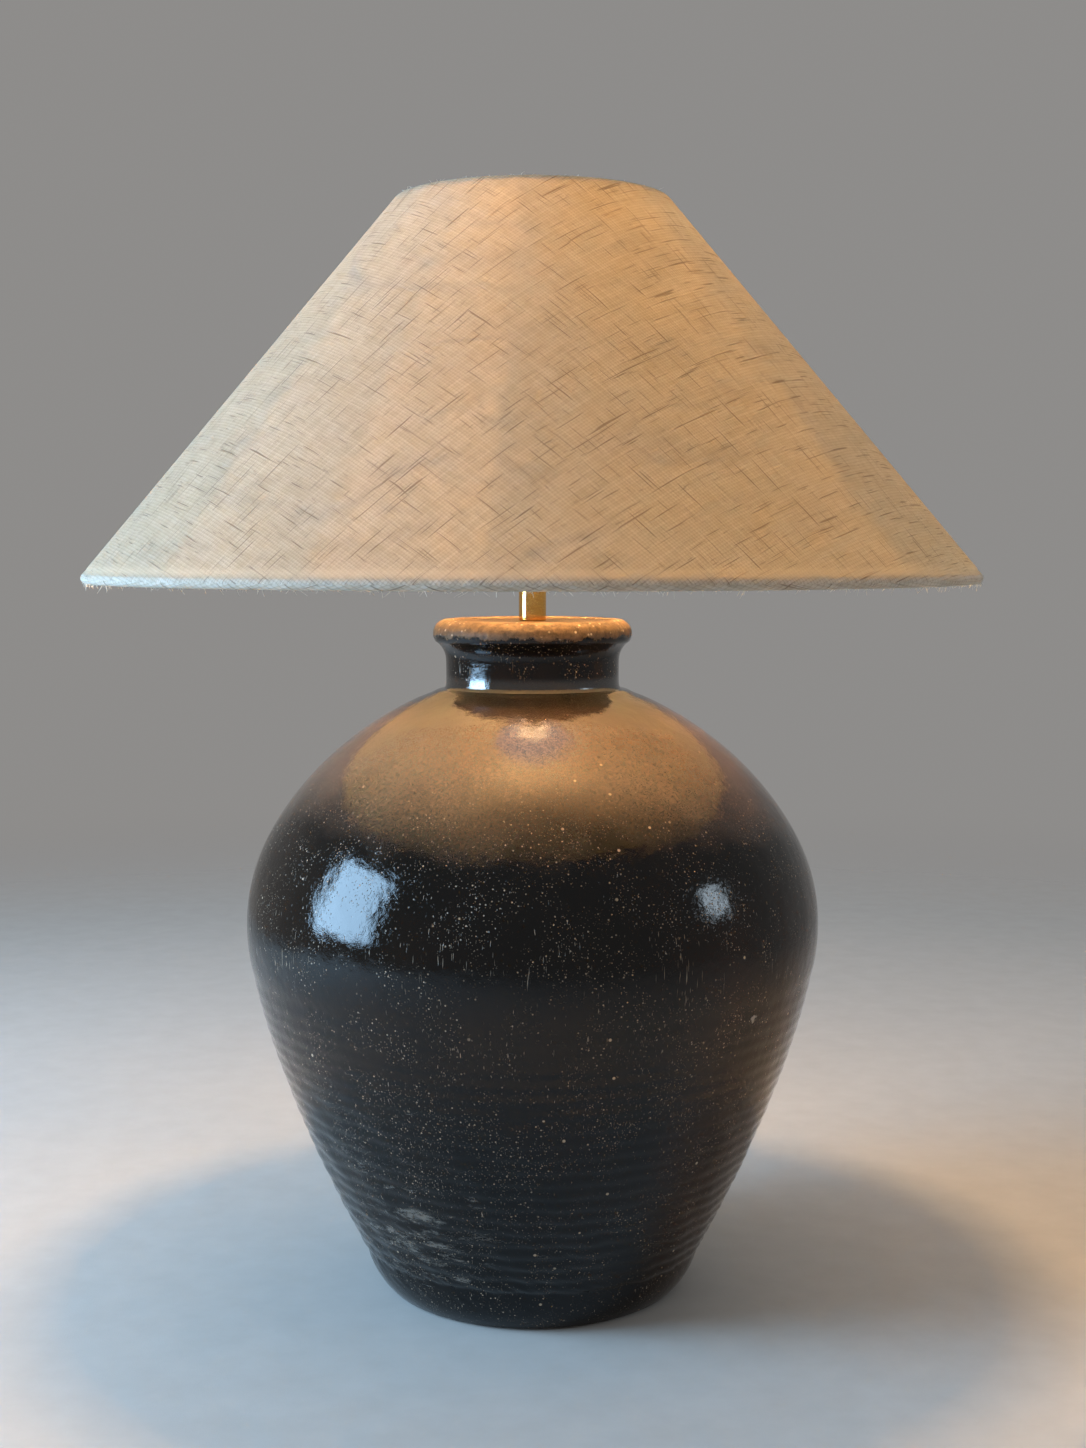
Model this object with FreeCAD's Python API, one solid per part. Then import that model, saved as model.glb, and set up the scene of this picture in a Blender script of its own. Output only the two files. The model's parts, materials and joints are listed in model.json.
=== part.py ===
"""A table lamp made from a thrown, dark-glazed storage jar with a wide conical linen shade.

Millimetres, +Z up, origin on the table at the centre of the jar's foot. The jar stands on a felt ring.
A hollow threaded rod clamps the jar between a nut under its floor and the wooden cap in its mouth, and
carries the brass neck tube, the harp saddle and the lampholder. The harp's legs stand on the saddle inside
two sliding sleeves. The shade's spider hub lies on the harp's swivelling stud, under the finial.

Each piece is one solid, or one group of like solids, in its own file parts/NAME.step.
"""
import FreeCAD
import Part

import os
from math import atan2, cos, hypot, radians, sin, sqrt, tan

# ---------------------------------------------------------------- driving dimensions, in millimetres
# Fits
running_gap = 0.08            # round pieces that turn or slide in each other, per side
loose_gap = 0.3               # pieces that only stand clear of each other

# Jar, heights measured from the underside of its foot
felt_thickness = 2.0
felt_inset = 3.0              # from the foot's edge to the felt ring's outer edge
felt_recess_inset = 1.5       # from the recess to the felt ring's inner edge
jar_height = 466.0
foot_radius = 104.0           # where the foot meets the felt
foot_height = 28.0            # where the foot ends in a slight waist
foot_waist_radius = 118.5
foot_bulge = 1.8              # how far the foot's side swells between those two
belly_radius = 199.0
belly_height = 256.0
belly_fullness = 1.5          # exponent of the curve from waist to belly
shoulder_fullness = 2.0       # exponents of the curve from belly to neck
shoulder_roundness = 0.77
shoulder_steps = (0.25, 0.5, 0.7, 0.83, 0.91, 0.96, 0.985)     # where its arcs pass, as shares of the rise
inside_steps = (0.06, 0.24, 0.46, 0.68, 0.84)                  # the same for the straighter inside
belly_steps = (0.95, 0.7, 0.45, 0.2)                           # and for the inside behind the ridges
neck_length = 48.0            # from the shoulder to the top of the rim
neck_radius = 60.3
neck_root_round = 3.0
rim_radius = 69.0
rim_band = 15.0               # height of the thickened rim
rim_flare = 13.0              # height over which the neck opens into the rim
rim_edge_inset = 1.5          # from the rim's widest line in to the lower edge of its band
rim_edge_drop = 4.5           # and down to it
rim_flat_radius = 61.0        # outer edge of the rim's flat top
wall = 9.0
floor_thickness = 12.0
recess_depth = 18.0           # hollow under the floor, inside the foot
recess_radius = 86.0
gallery_radius = 57.0         # the step in the mouth that carries the cap
gallery_depth = 12.0
throat_radius = 51.5
rod_hole_radius = 5.6

# Finger ridges left by throwing, strongest near the foot
ridge_pitch = 9.6
ridge_count = 20
ridge_depth = 1.1             # of the lowest ridge, from groove to crest
ridge_fade = 0.75             # share of that depth lost by the topmost ridge

# Cord inlet through the back of the foot
inlet_height = 11.0           # axis above the foot's underside
inlet_hole_radius = 5.5
inlet_bore_radius = 3.5
inlet_flange_radius = 7.5
inlet_flange = 1.6

# Rod and what clamps it under the floor
rod_radius = 4.95
rod_bore_radius = 3.3
rod_tail = 3.0                # below the nut
rod_bush_flange = 1.0
rod_bush_length = 7.0
rod_bush_wall = 0.6
rubber_washer_radius = 17.0
rubber_washer_thickness = 2.0
steel_washer_radius = 19.0
steel_washer_thickness = 2.0
lock_washer_radius = 8.6
lock_washer_thickness = 1.5
lock_washer_split = 1.8
nut_across_flats = 14.3
nut_thickness = 4.8

# Mouth
gasket_thickness = 2.0
gasket_width = 4.6
cap_thickness = 9.0
cap_edge_round = 1.2
cap_clearance = 0.5           # round the cap, inside the gallery

# Neck
tube_radius = 9.525
tube_wall = 1.0
tube_length = 60.0
tube_lip = 0.8                # rounded lower edge of the tube
seat_ring_radius = 12.0
seat_ring_height = 3.0

# Harp saddle
saddle_thickness = 1.6
saddle_width = 14.0
saddle_base_half = 15.0       # half length of its flat base
saddle_bend = 4.0
saddle_rise = 10.0            # from its base to the shoulders of its prongs
prong_width = 5.0
prong_height = 18.0
prong_spread = 59.5           # between the middles of the two prongs

# Harp
harp_height = 204.0           # from the saddle's base to the top of the harp's boss
harp_half_width = 57.0
harp_wire_radius = 1.8
harp_leg_length = 36.0
harp_s_bend = 70.0            # height of each leg's outward sweep
harp_corner = 45.0
harp_boss_radius = 6.5
harp_boss_height = 4.4
sleeve_length = 16.0
sleeve_wall = 0.6

# Stud, spider hub and finial
stud_shank_radius = 2.2
stud_head_radius = 4.2
stud_head_height = 1.6
stud_flange_radius = 5.5
stud_flange_height = 1.5
stud_thread_radius = 3.1
stud_length = 15.0            # above its flange
stud_chamfer = 0.8
finial_height = 24.0
finial_foot_height = 4.8
finial_waist_height = 10.0
finial_foot_radius = 6.6
finial_waist_radius = 4.4
finial_ball_radius = 6.0
finial_ball_start = -40.0     # degrees from the ball's middle to its neck
finial_bore_depth = 14.0

# Lampholder
holder_hub_radius = 8.0
holder_hub_height = 8.0
holder_cap_radius = 17.6
holder_dome_height = 15.0
holder_dome_middle = (0.72, 0.34)      # where the dome's arc passes, as shares of its width and height
holder_skirt = 7.0
holder_sheet = 0.7            # brass sheet of cap and shell
holder_shell_height = 45.0
holder_shell_tuck = 5.0       # how far the shell goes down into the cap
holder_bead = 0.8
holder_mouth_roll = 1.0
holder_liner = 0.7
holder_body_height = 19.0
screw_shell_height = 25.0
screw_shell_wall = 0.5
contact_thickness = 0.6
contact_length = 8.0
contact_lift = 1.8
contact_rise_start = -1.6     # the tongue climbs between these distances from the holder's middle
contact_rise_end = 0.8
terminal_head_radius = 2.6
terminal_head_height = 1.4
terminal_shank_radius = 1.3
terminal_shank_length = 4.0
terminal_slot = 0.55          # width and depth
terminal_flat_depth = 2.2     # cut into the side of the holder's body
terminal_flat_height = 13.4
set_screw_radius = 1.6
set_screw_length = 5.0
set_screw_slot_depth = 1.0
set_screw_slot_width = 0.65
switch_height = 10.0          # axis above the underside of the holder's body
switch_shaft_radius = 1.7
switch_shaft_depth = 9.0      # inside the holder's body
knob_radius = 5.6
knob_length = 15.0
knob_standoff = 4.0           # between the shell and the knob
knob_dome = 3.7
knob_dome_middle = (0.8, 0.3)          # where the dome's arc passes, as shares of its width and of its depth
knob_flutes = 10
knob_flute_radius = 0.9

# Bulb
bulb_cap_radius = 13.1
bulb_cap_height = 22.0
bulb_cap_wall = 0.4
bulb_cap_taper = 3.3          # how far its lower end narrows
bulb_insulator_height = 3.4
bulb_tip_radius = 4.2
bulb_tip_height = 1.2
bulb_radius = 30.0
bulb_length = 108.0           # from its tip contact to the top of its glass
bulb_glass = 0.9
bulb_neck_radius = 12.4
bulb_neck_overlap = 6.0       # glass inside its cap
bulb_stem_radius = 3.0
bulb_stem_height = 46.0
bulb_stem_flare = 18.0        # height of its flared foot
filament_radius = 0.45
filament_loop_radius = 10.0
filament_rise = 12.0
filament_lead_spread = 1.5    # from the stem's middle to each lead wire

# Shade
shade_bottom_radius = 305.0
shade_top_radius = 95.0
shade_height = 259.0          # from the lowest to the highest point of its hems
shade_drop = 15.5             # from the top of its upper hem down to the top of the spider hub
shade_linen = 1.2
shade_liner = 0.5
shade_wire_radius = 2.0
shade_hem_slack = 0.4         # between each wire and the linen turned round it
shade_hem_turn = 232.0        # degrees that the linen turns round each wire
shade_hem_folds = 8           # flats in that turn
shade_liner_start = 1.6       # from each wire's middle to the liner's edge
seam_width = 12.0
seam_thickness = 0.6
spider_arms = 3
spider_wire_radius = 1.7
spider_hub_radius = 13.0
spider_hub_thickness = 2.0
spider_hub_play = 0.35        # round the stud
spider_knee = 14.0            # radius of each arm's bend up to the ring

# ---------------------------------------------------------------- heights and radii that follow
foot_z = felt_thickness
floor_underside_z = foot_z + recess_depth
floor_z = floor_underside_z + floor_thickness
rim_z = foot_z + jar_height
gallery_z = rim_z - gallery_depth
cap_z = gallery_z + gasket_thickness
tube_z = cap_z + cap_thickness
seat_ring_z = tube_z + tube_length
saddle_z = seat_ring_z + seat_ring_height
holder_z = saddle_z + saddle_thickness
prong_z = holder_z + saddle_rise
harp_top_z = saddle_z + harp_height
hub_z = harp_top_z + stud_flange_height
hub_top_z = hub_z + spider_hub_thickness
shade_top_z = hub_top_z + shade_drop
shade_bottom_z = shade_top_z - shade_height
hem_inner_radius = shade_wire_radius + shade_hem_slack
hem_radius = hem_inner_radius + shade_linen
nut_stack = rubber_washer_thickness + steel_washer_thickness + lock_washer_thickness + nut_thickness
rod_z = floor_underside_z - nut_stack - rod_tail
holder_dome_z = holder_z + holder_hub_height
holder_skirt_z = holder_dome_z + holder_dome_height
shell_z = holder_skirt_z + holder_skirt - holder_shell_tuck
shell_top_z = shell_z + holder_shell_height
shell_radius = holder_cap_radius - holder_sheet - running_gap
liner_radius = shell_radius - holder_sheet
body_radius = liner_radius - holder_liner
body_z = shell_z
body_top_z = body_z + holder_body_height
screw_shell_radius = bulb_cap_radius + loose_gap + screw_shell_wall
screw_shell_floor_z = body_top_z + screw_shell_wall
bulb_tip_z = screw_shell_floor_z + contact_thickness + contact_lift
switch_z = body_z + switch_height
rod_top_z = holder_dome_z
inlet_z = foot_z + inlet_height

UP = FreeCAD.Vector(0, 0, 1)
OUT = FreeCAD.Vector(1, 0, 0)
BACK = FreeCAD.Vector(0, 1, 0)
FRONT = FreeCAD.Vector(0, -1, 0)
ORIGIN = FreeCAD.Vector(0, 0, 0)


# ---------------------------------------------------------------- tools
def point(r, z):
    """A point of the r-z plane, in which every turned piece is drawn."""
    return FreeCAD.Vector(r, 0, z)


class Outline:
    """An outline in the r-z plane, drawn from point to point."""

    def __init__(self, r, z):
        self.first = self.last = point(r, z)
        self.edges = []

    def line(self, r, z):
        end = point(r, z)
        self.edges.append(Part.LineSegment(self.last, end).toShape())
        self.last = end
        return self

    def arc(self, middle, end):
        middle, end = point(*middle), point(*end)
        self.edges.append(Part.Arc(self.last, middle, end).toShape())
        self.last = end
        return self

    def round(self, corner, end):
        """A quarter circle from here to end, inside the square corner between them."""
        corner, end = point(*corner), point(*end)
        centre = self.last + end - corner
        middle = centre + (corner - centre) * (1 / sqrt(2))
        return self.arc((middle.x, middle.z), (end.x, end.z))

    def bend(self, r, z):
        """An arc that leaves the last edge without a corner."""
        way = self.edges[-1].tangentAt(self.edges[-1].LastParameter)
        half = (point(r, z) - self.last) * (1 / 2)
        turn = atan2(way.z * half.x - way.x * half.z, way.x * half.x + way.z * half.z)
        middle = self.last + half + point(-half.z, half.x) * tan(turn / 2)
        return self.arc((middle.x, middle.z), (r, z))

    def face(self):
        if self.last.distanceToPoint(self.first) > 1e-6:
            self.line(self.first.x, self.first.z)
        return Part.Face(Part.Wire(self.edges))

    def turned(self):
        """The solid made by turning the closed outline about the Z axis."""
        return self.face().revolve(ORIGIN, UP, 360)


def ring(outer, inner, bottom, height):
    """A flat ring about the Z axis."""
    disc = Part.makeCylinder(outer, height, point(0, bottom))
    return disc.cut(Part.makeCylinder(inner, height, point(0, bottom)))


def wire_solid(edges, radius):
    """A round wire along tangent edges."""
    path = Part.Wire(edges)
    start = path.Edges[0].valueAt(path.Edges[0].FirstParameter)
    along = path.Edges[0].tangentAt(path.Edges[0].FirstParameter)
    section = Part.Wire(Part.Circle(start, along, radius).toShape())
    return path.makePipeShell([section], True, True)


def around(angle, radius, z):
    """A point at an angle about the Z axis, 0 at +X."""
    return FreeCAD.Vector(radius * cos(radians(angle)), radius * sin(radians(angle)), z)


def save(name, shape):
    """Writes one piece, as its solid or its group of solids, to parts/NAME.step."""
    solids = shape.Solids
    piece = solids[0] if len(solids) == 1 else Part.makeCompound(solids)
    if not solids or not piece.isValid():
        raise RuntimeError(f"{name} is not a valid solid")
    piece.exportStep(f"parts/{name}.step")
    print(f"{name:20s} {len(solids)} solid(s) {piece.Volume / 1000:9.2f} cm3")


# ---------------------------------------------------------------- jar
def jar_radius(h):
    """The jar's outer radius at height h above its foot, between the waist and the neck's root."""
    if h <= belly_height:
        share = (belly_height - h) / (belly_height - foot_height)
        return foot_waist_radius + (belly_radius - foot_waist_radius) * (1 - share**belly_fullness)
    share = (h - belly_height) / (jar_height - neck_length - belly_height)
    drop = max(0.0, 1 - share**shoulder_fullness) ** shoulder_roundness
    return neck_radius + (belly_radius - neck_radius) * drop


def jar_inner_point(h):
    """The point one wall's thickness inside the jar's surface at height h, as (r, z)."""
    step = 0.5
    slope = (jar_radius(h + step) - jar_radius(h - step)) / (2 * step)
    scale = wall / hypot(1, slope)
    return jar_radius(h) - scale, foot_z + h + scale * slope


def draw_foot_side(outline):
    """Draws the foot's swelling side, from its lower edge up to its waist."""
    middle = ((foot_radius + foot_waist_radius) / 2 + foot_bulge, foot_z + foot_height / 2 - foot_bulge)
    return outline.arc(middle, (foot_waist_radius, foot_z + foot_height))


def draw_ridges(outline):
    """Draws the finger ridges upwards from the waist, one arc each. Returns the height where they end."""
    for k in range(ridge_count):
        groove = foot_height + (k + 1) * ridge_pitch
        crest = groove - ridge_pitch / 2
        swell = ridge_depth * (1 - ridge_fade * k / max(1, ridge_count - 1))
        outline.arc((jar_radius(crest) + swell, foot_z + crest), (jar_radius(groove), foot_z + groove))
    return foot_height + ridge_count * ridge_pitch


def draw_neck(outline):
    """Draws the neck and its rolled rim upwards from the shoulder, as far as the mouth's gallery."""
    root_z = rim_z - neck_length
    under_z = rim_z - rim_band
    outline.round((neck_radius, root_z), (neck_radius, root_z + neck_root_round))
    outline.line(neck_radius, under_z - rim_flare).bend(rim_radius - rim_edge_inset, under_z)
    outline.arc((rim_radius, under_z + rim_edge_drop), (rim_flat_radius, rim_z))
    outline.line(gallery_radius + cap_edge_round, rim_z)
    return outline.round((gallery_radius, rim_z), (gallery_radius, rim_z - cap_edge_round))


def make_inlet_cutter(radius):
    """A rod along the cord inlet's axis, from inside the recess to well outside the foot."""
    return Part.makeCylinder(radius, belly_radius, FreeCAD.Vector(0, recess_radius / 2, inlet_z), BACK)


def make_foot_solid(swell):
    """The foot as a plain solid, grown outwards by swell, to trim what seats on its side."""
    outline = Outline(0, foot_z).line(foot_radius + swell, foot_z)
    middle_radius = (foot_radius + foot_waist_radius) / 2 + foot_bulge + swell
    outline.arc((middle_radius, foot_z + foot_height / 2 - foot_bulge),
                (foot_waist_radius + swell, foot_z + foot_height))
    return outline.line(0, foot_z + foot_height).turned()


def make_jar():
    outline = Outline(recess_radius, foot_z).line(foot_radius, foot_z)
    draw_foot_side(outline)
    ridge_top = draw_ridges(outline)
    neck_root = jar_height - neck_length
    rise = neck_root - ridge_top
    shoulder = [(jar_radius(ridge_top + rise * s), foot_z + ridge_top + rise * s) for s in shoulder_steps]
    shoulder.append((neck_radius + neck_root_round, foot_z + neck_root))
    for middle, end in zip(shoulder[::2], shoulder[1::2]):
        outline.arc(middle, end)
    draw_neck(outline)
    outline.line(gallery_radius, gallery_z).line(throat_radius, gallery_z)
    outline.line(throat_radius, rim_z - neck_length)
    inside = [ridge_top + rise * s for s in inside_steps[::-1]]
    inside += [foot_height + (ridge_top - foot_height) * s for s in belly_steps]
    for height in inside:
        outline.line(*jar_inner_point(height))
    outline.line(foot_waist_radius - wall, floor_z)
    outline.line(rod_hole_radius, floor_z).line(rod_hole_radius, floor_underside_z)
    outline.line(recess_radius, floor_underside_z)
    return outline.turned().cut(make_inlet_cutter(inlet_hole_radius))


def make_felt_ring():
    return ring(foot_radius - felt_inset, recess_radius + felt_recess_inset, 0, felt_thickness)


def make_cord_grommet():
    """A flanged bush through the back of the foot. Its flange follows the foot's curved side."""
    sleeve = Part.makeCylinder(inlet_hole_radius - running_gap, belly_radius,
                               FreeCAD.Vector(0, recess_radius, inlet_z), BACK)
    flange = make_inlet_cutter(inlet_flange_radius).cut(make_foot_solid(0))
    head = sleeve.fuse(flange).common(make_foot_solid(inlet_flange))
    return head.cut(make_inlet_cutter(inlet_bore_radius)).removeSplitter()


# ---------------------------------------------------------------- rod and clamp under the floor
def make_rod():
    return ring(rod_radius, rod_bore_radius, rod_z, rod_top_z - rod_z)


def make_rod_bush():
    """The flanged plastic bush in the rod's lower end, which keeps a lead off the cut edge."""
    sleeve_radius = rod_bore_radius - running_gap
    bore = sleeve_radius - rod_bush_wall
    sleeve = ring(sleeve_radius, bore, rod_z, rod_bush_length)
    return sleeve.fuse(ring(rod_radius, bore, rod_z - rod_bush_flange, rod_bush_flange)).removeSplitter()


def make_rubber_washer():
    return ring(rubber_washer_radius, rod_radius + running_gap, floor_underside_z - rubber_washer_thickness,
                rubber_washer_thickness)


def make_steel_washer():
    bottom = floor_underside_z - rubber_washer_thickness - steel_washer_thickness
    return ring(steel_washer_radius, rod_radius + running_gap, bottom, steel_washer_thickness)


def make_lock_washer():
    bottom = floor_underside_z - nut_stack + nut_thickness
    washer = ring(lock_washer_radius, rod_radius + running_gap, bottom, lock_washer_thickness)
    split = Part.makeBox(lock_washer_radius, lock_washer_split, lock_washer_thickness,
                         FreeCAD.Vector(0, -lock_washer_split / 2, bottom))
    return washer.cut(split)


def make_nut():
    bottom = floor_underside_z - nut_stack
    corner = nut_across_flats / 2 / cos(radians(30))
    corners = [around(60 * k, corner, bottom) for k in range(7)]
    prism = Part.Face(Part.makePolygon(corners)).extrude(UP * nut_thickness)
    chamfer = Part.makeCone(nut_across_flats / 2, nut_across_flats / 2 + nut_thickness, nut_thickness,
                            point(0, bottom))
    bore = Part.makeCylinder(rod_radius + running_gap, nut_thickness, point(0, bottom))
    return prism.common(chamfer).cut(bore)


# ---------------------------------------------------------------- mouth and neck tube
def make_gasket():
    return ring(gallery_radius - cap_clearance, gallery_radius - cap_clearance - gasket_width, gallery_z,
                gasket_thickness)


def make_mouth_cap():
    radius = gallery_radius - cap_clearance
    top = cap_z + cap_thickness
    bore = rod_radius + running_gap
    outline = Outline(bore, cap_z).line(radius, cap_z).line(radius, top - cap_edge_round)
    outline.round((radius, top), (radius - cap_edge_round, top))
    return outline.line(bore, top).turned()


def make_neck_tube():
    bore = tube_radius - tube_wall
    lip = min(tube_lip, 0.9 * tube_wall)
    outline = Outline(bore, tube_z).line(tube_radius - lip, tube_z)
    outline.round((tube_radius, tube_z), (tube_radius, tube_z + lip))
    return outline.line(tube_radius, seat_ring_z).line(bore, seat_ring_z).turned()


def make_seat_ring():
    """The turned brass ring between the tube and the saddle."""
    bore = rod_radius + running_gap
    top = seat_ring_z + seat_ring_height
    bead = seat_ring_height / 2
    outline = Outline(bore, seat_ring_z).line(seat_ring_radius - bead, seat_ring_z)
    outline.arc((seat_ring_radius, seat_ring_z + bead), (seat_ring_radius - bead, top))
    return outline.line(bore, top).turned()


# ---------------------------------------------------------------- harp
def bent_strip(path, thickness, bend):
    """The side view of a strip bent along a path of (x, z) points, whose bends' inner radius is given."""
    sides = {1: [], -1: []}
    for i, (x, z) in enumerate(path):
        before = path[max(i - 1, 0)]
        after = path[min(i + 1, len(path) - 1)]
        into = atan2(z - before[1], x - before[0]) if i else None
        out = atan2(after[1] - z, after[0] - x) if i < len(path) - 1 else None
        if into is None or out is None:
            way = out if into is None else into
            for side in sides:
                offset = side * thickness / 2
                sides[side].append([(x - offset * sin(way), z + offset * cos(way))])
            continue
        turn = out - into
        radius = bend + thickness / 2
        reach = radius * abs(sin(turn / 2) / cos(turn / 2))
        hand = 1 if turn > 0 else -1
        centre_x = x - reach * cos(into) - hand * radius * sin(into)
        centre_z = z - reach * sin(into) + hand * radius * cos(into)
        for side in sides:
            arm = radius - side * hand * thickness / 2
            angles = [a - hand * radians(90) for a in (into, (into + out) / 2, out)]
            sides[side].append([(centre_x + arm * cos(a), centre_z + arm * sin(a)) for a in angles])
    outline = Outline(*sides[-1][0][0])
    for stretch in sides[-1][1:] + [s[::-1] for s in sides[1][::-1]]:
        outline.line(*stretch[0])
        if len(stretch) == 3:
            outline.arc(stretch[1], stretch[2])
    return outline.face()


def make_saddle():
    """A strip bent up into two prongs, narrowed there so that each sleeve stops on the shoulders."""
    prong_x = prong_spread / 2
    middle_z = saddle_z + saddle_thickness / 2
    knee_z = middle_z + saddle_rise / 2
    half = [(saddle_base_half, middle_z), (prong_x, knee_z), (prong_x, prong_z + prong_height)]
    path = [(-x, z) for x, z in half[::-1]] + half
    strip = bent_strip(path, saddle_thickness, min(saddle_bend, 0.3 * saddle_rise))
    saddle = strip.extrude(BACK * saddle_width)
    saddle.translate(FRONT * (saddle_width / 2))
    for side in (-1, 1):
        for way in (-1, 1):
            waste = Part.makeBox(saddle_width, saddle_width, prong_height + saddle_rise)
            low_x = side * prong_x - saddle_width / 2
            low_y = prong_width / 2 if way > 0 else -prong_width / 2 - saddle_width
            waste.translate(FreeCAD.Vector(low_x, low_y, prong_z))
            saddle = saddle.cut(waste)
    hole = Part.makeCylinder(rod_radius + running_gap, saddle_thickness, point(0, saddle_z))
    return saddle.cut(hole)


def harp_leg_x():
    """The middle of each harp leg, which stands against the inner face of its prong."""
    return prong_spread / 2 - saddle_thickness / 2 - running_gap - harp_wire_radius


def harp_side_edges():
    """The wire's path on the +X side, from the leg's foot to the middle of the top."""
    leg_x = harp_leg_x()
    foot = prong_z + loose_gap
    leg_top = foot + harp_leg_length
    sweep_top = leg_top + harp_s_bend
    top_z = harp_top_z - harp_boss_height / 2
    spread = harp_half_width - leg_x
    radius = (spread**2 + harp_s_bend**2) / (4 * spread)
    half_turn = atan2(spread, harp_s_bend)
    quarter = harp_corner * (1 - sqrt(0.5))
    lower_mid = (leg_x + radius * (1 - cos(half_turn)), leg_top + radius * sin(half_turn))
    upper_mid = (harp_half_width - radius * (1 - cos(half_turn)), sweep_top - radius * sin(half_turn))
    inflection = ((leg_x + harp_half_width) / 2, (leg_top + sweep_top) / 2)
    outline = Outline(leg_x, foot).line(leg_x, leg_top)
    outline.arc(lower_mid, inflection).arc(upper_mid, (harp_half_width, sweep_top))
    outline.line(harp_half_width, top_z - harp_corner)
    outline.arc((harp_half_width - quarter, top_z - quarter), (harp_half_width - harp_corner, top_z))
    return outline.line(0, top_z).edges


def make_harp():
    """The bent wire with the flat boss in its top that holds the stud."""
    half = wire_solid(harp_side_edges(), harp_wire_radius)
    other = half.mirror(ORIGIN, OUT)
    boss = Part.makeCylinder(harp_boss_radius, harp_boss_height, point(0, harp_top_z - harp_boss_height))
    hole = Part.makeCylinder(stud_shank_radius + running_gap, harp_boss_height,
                             point(0, harp_top_z - harp_boss_height))
    return half.fuse([other, boss]).cut(hole).removeSplitter()


def make_sleeve(side):
    """The sliding sleeve that holds a harp leg to its prong."""
    inner_face = harp_leg_x() - harp_wire_radius
    outer_face = prong_spread / 2 + saddle_thickness / 2
    middle = (inner_face + outer_face) / 2
    inner = hypot(outer_face - middle, prong_width / 2) + running_gap
    sleeve = ring(inner + sleeve_wall, inner, prong_z, sleeve_length)
    sleeve.translate(OUT * (side * middle))
    return sleeve


def make_stud():
    """The swivelling stud: a head under the harp's boss, a flange for the spider hub and a threaded post."""
    boss_z = harp_top_z - harp_boss_height
    top = hub_z + stud_length
    outline = Outline(0, boss_z - stud_head_height).line(stud_head_radius, boss_z - stud_head_height)
    outline.line(stud_head_radius, boss_z).line(stud_shank_radius, boss_z)
    outline.line(stud_shank_radius, harp_top_z).line(stud_flange_radius, harp_top_z)
    outline.line(stud_flange_radius, hub_z).line(stud_thread_radius, hub_z)
    outline.line(stud_thread_radius, top - stud_chamfer).line(stud_thread_radius - stud_chamfer, top)
    outline.line(0, top)
    return outline.turned()


def make_finial():
    """A turned finial: a foot that clamps the hub, a waist and a ball."""
    bore = stud_thread_radius + running_gap
    bore_top = hub_top_z + finial_bore_depth
    top = hub_top_z + finial_height
    ball_z = top - finial_ball_radius
    outline = Outline(bore, hub_top_z).line(finial_foot_radius, hub_top_z)
    outline.line(finial_foot_radius, hub_top_z + finial_foot_height)
    start = radians(finial_ball_start)
    ball_foot = (finial_ball_radius * cos(start), ball_z + finial_ball_radius * sin(start))
    outline.arc((finial_waist_radius, hub_top_z + finial_waist_height), ball_foot)
    outline.arc((finial_ball_radius, ball_z), (0, top))
    return outline.line(0, bore_top).line(bore, bore_top).turned()


# ---------------------------------------------------------------- lampholder
def switch_drill(radius):
    """A rod along the switch's axis, from the holder's middle out through the front."""
    return Part.makeCylinder(radius, 2 * holder_cap_radius, FreeCAD.Vector(0, 0, switch_z), FRONT)


def make_holder_cap():
    """The spun brass cap: a threaded hub, a dome and a straight skirt."""
    top = holder_skirt_z + holder_skirt
    hub = holder_hub_radius
    hub_inner = rod_radius + running_gap
    across, up = holder_dome_middle
    dome_mid = (hub + across * (holder_cap_radius - hub), holder_dome_z + up * holder_dome_height)
    inner_mid = (dome_mid[0] - holder_sheet / sqrt(2), dome_mid[1] + holder_sheet / sqrt(2))
    skirt_inner = holder_cap_radius - holder_sheet
    outline = Outline(hub_inner, holder_z).line(hub, holder_z).line(hub, holder_dome_z)
    outline.arc(dome_mid, (holder_cap_radius, holder_skirt_z)).line(holder_cap_radius, top)
    outline.line(skirt_inner, top).line(skirt_inner, holder_skirt_z)
    outline.arc(inner_mid, (hub, holder_dome_z + holder_sheet)).line(hub_inner, holder_dome_z + holder_sheet)
    cap = outline.turned()
    screw = Part.makeCylinder(set_screw_radius + running_gap, 2 * hub,
                              FreeCAD.Vector(0, 0, holder_z + holder_hub_height / 2), BACK)
    return cap.cut(screw)


def make_set_screw():
    """The slotted screw that locks the cap on the rod."""
    z = holder_z + holder_hub_height / 2
    start = rod_radius + running_gap
    screw = Part.makeCylinder(set_screw_radius, set_screw_length, FreeCAD.Vector(0, start, z), BACK)
    slot = Part.makeBox(4 * set_screw_radius, set_screw_slot_depth, set_screw_slot_width)
    slot.translate(FreeCAD.Vector(-2 * set_screw_radius, start + set_screw_length - set_screw_slot_depth,
                                  z - set_screw_slot_width / 2))
    return screw.cut(slot)


def make_holder_shell():
    """The brass shell, with a bead round it above the cap and a rolled mouth."""
    outer = shell_radius
    inner = liner_radius + running_gap
    bead_z = holder_skirt_z + holder_skirt + 3 * holder_bead
    roll_z = shell_top_z - 2 * holder_mouth_roll
    outline = Outline(inner, shell_z).line(outer, shell_z).line(outer, bead_z)
    outline.arc((outer + holder_bead, bead_z + 1.5 * holder_bead), (outer, bead_z + 3 * holder_bead))
    outline.line(outer, roll_z)
    outline.arc((outer + holder_mouth_roll, roll_z + holder_mouth_roll), (outer, shell_top_z))
    outline.line(inner, shell_top_z)
    shell = outline.turned()
    return shell.cut(switch_drill(switch_shaft_radius + loose_gap))


def make_holder_liner():
    """The pressed-paper sleeve between the shell and the live parts."""
    liner = ring(liner_radius, body_radius + running_gap, shell_z, holder_shell_height - holder_mouth_roll)
    return liner.cut(switch_drill(switch_shaft_radius + loose_gap))


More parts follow.
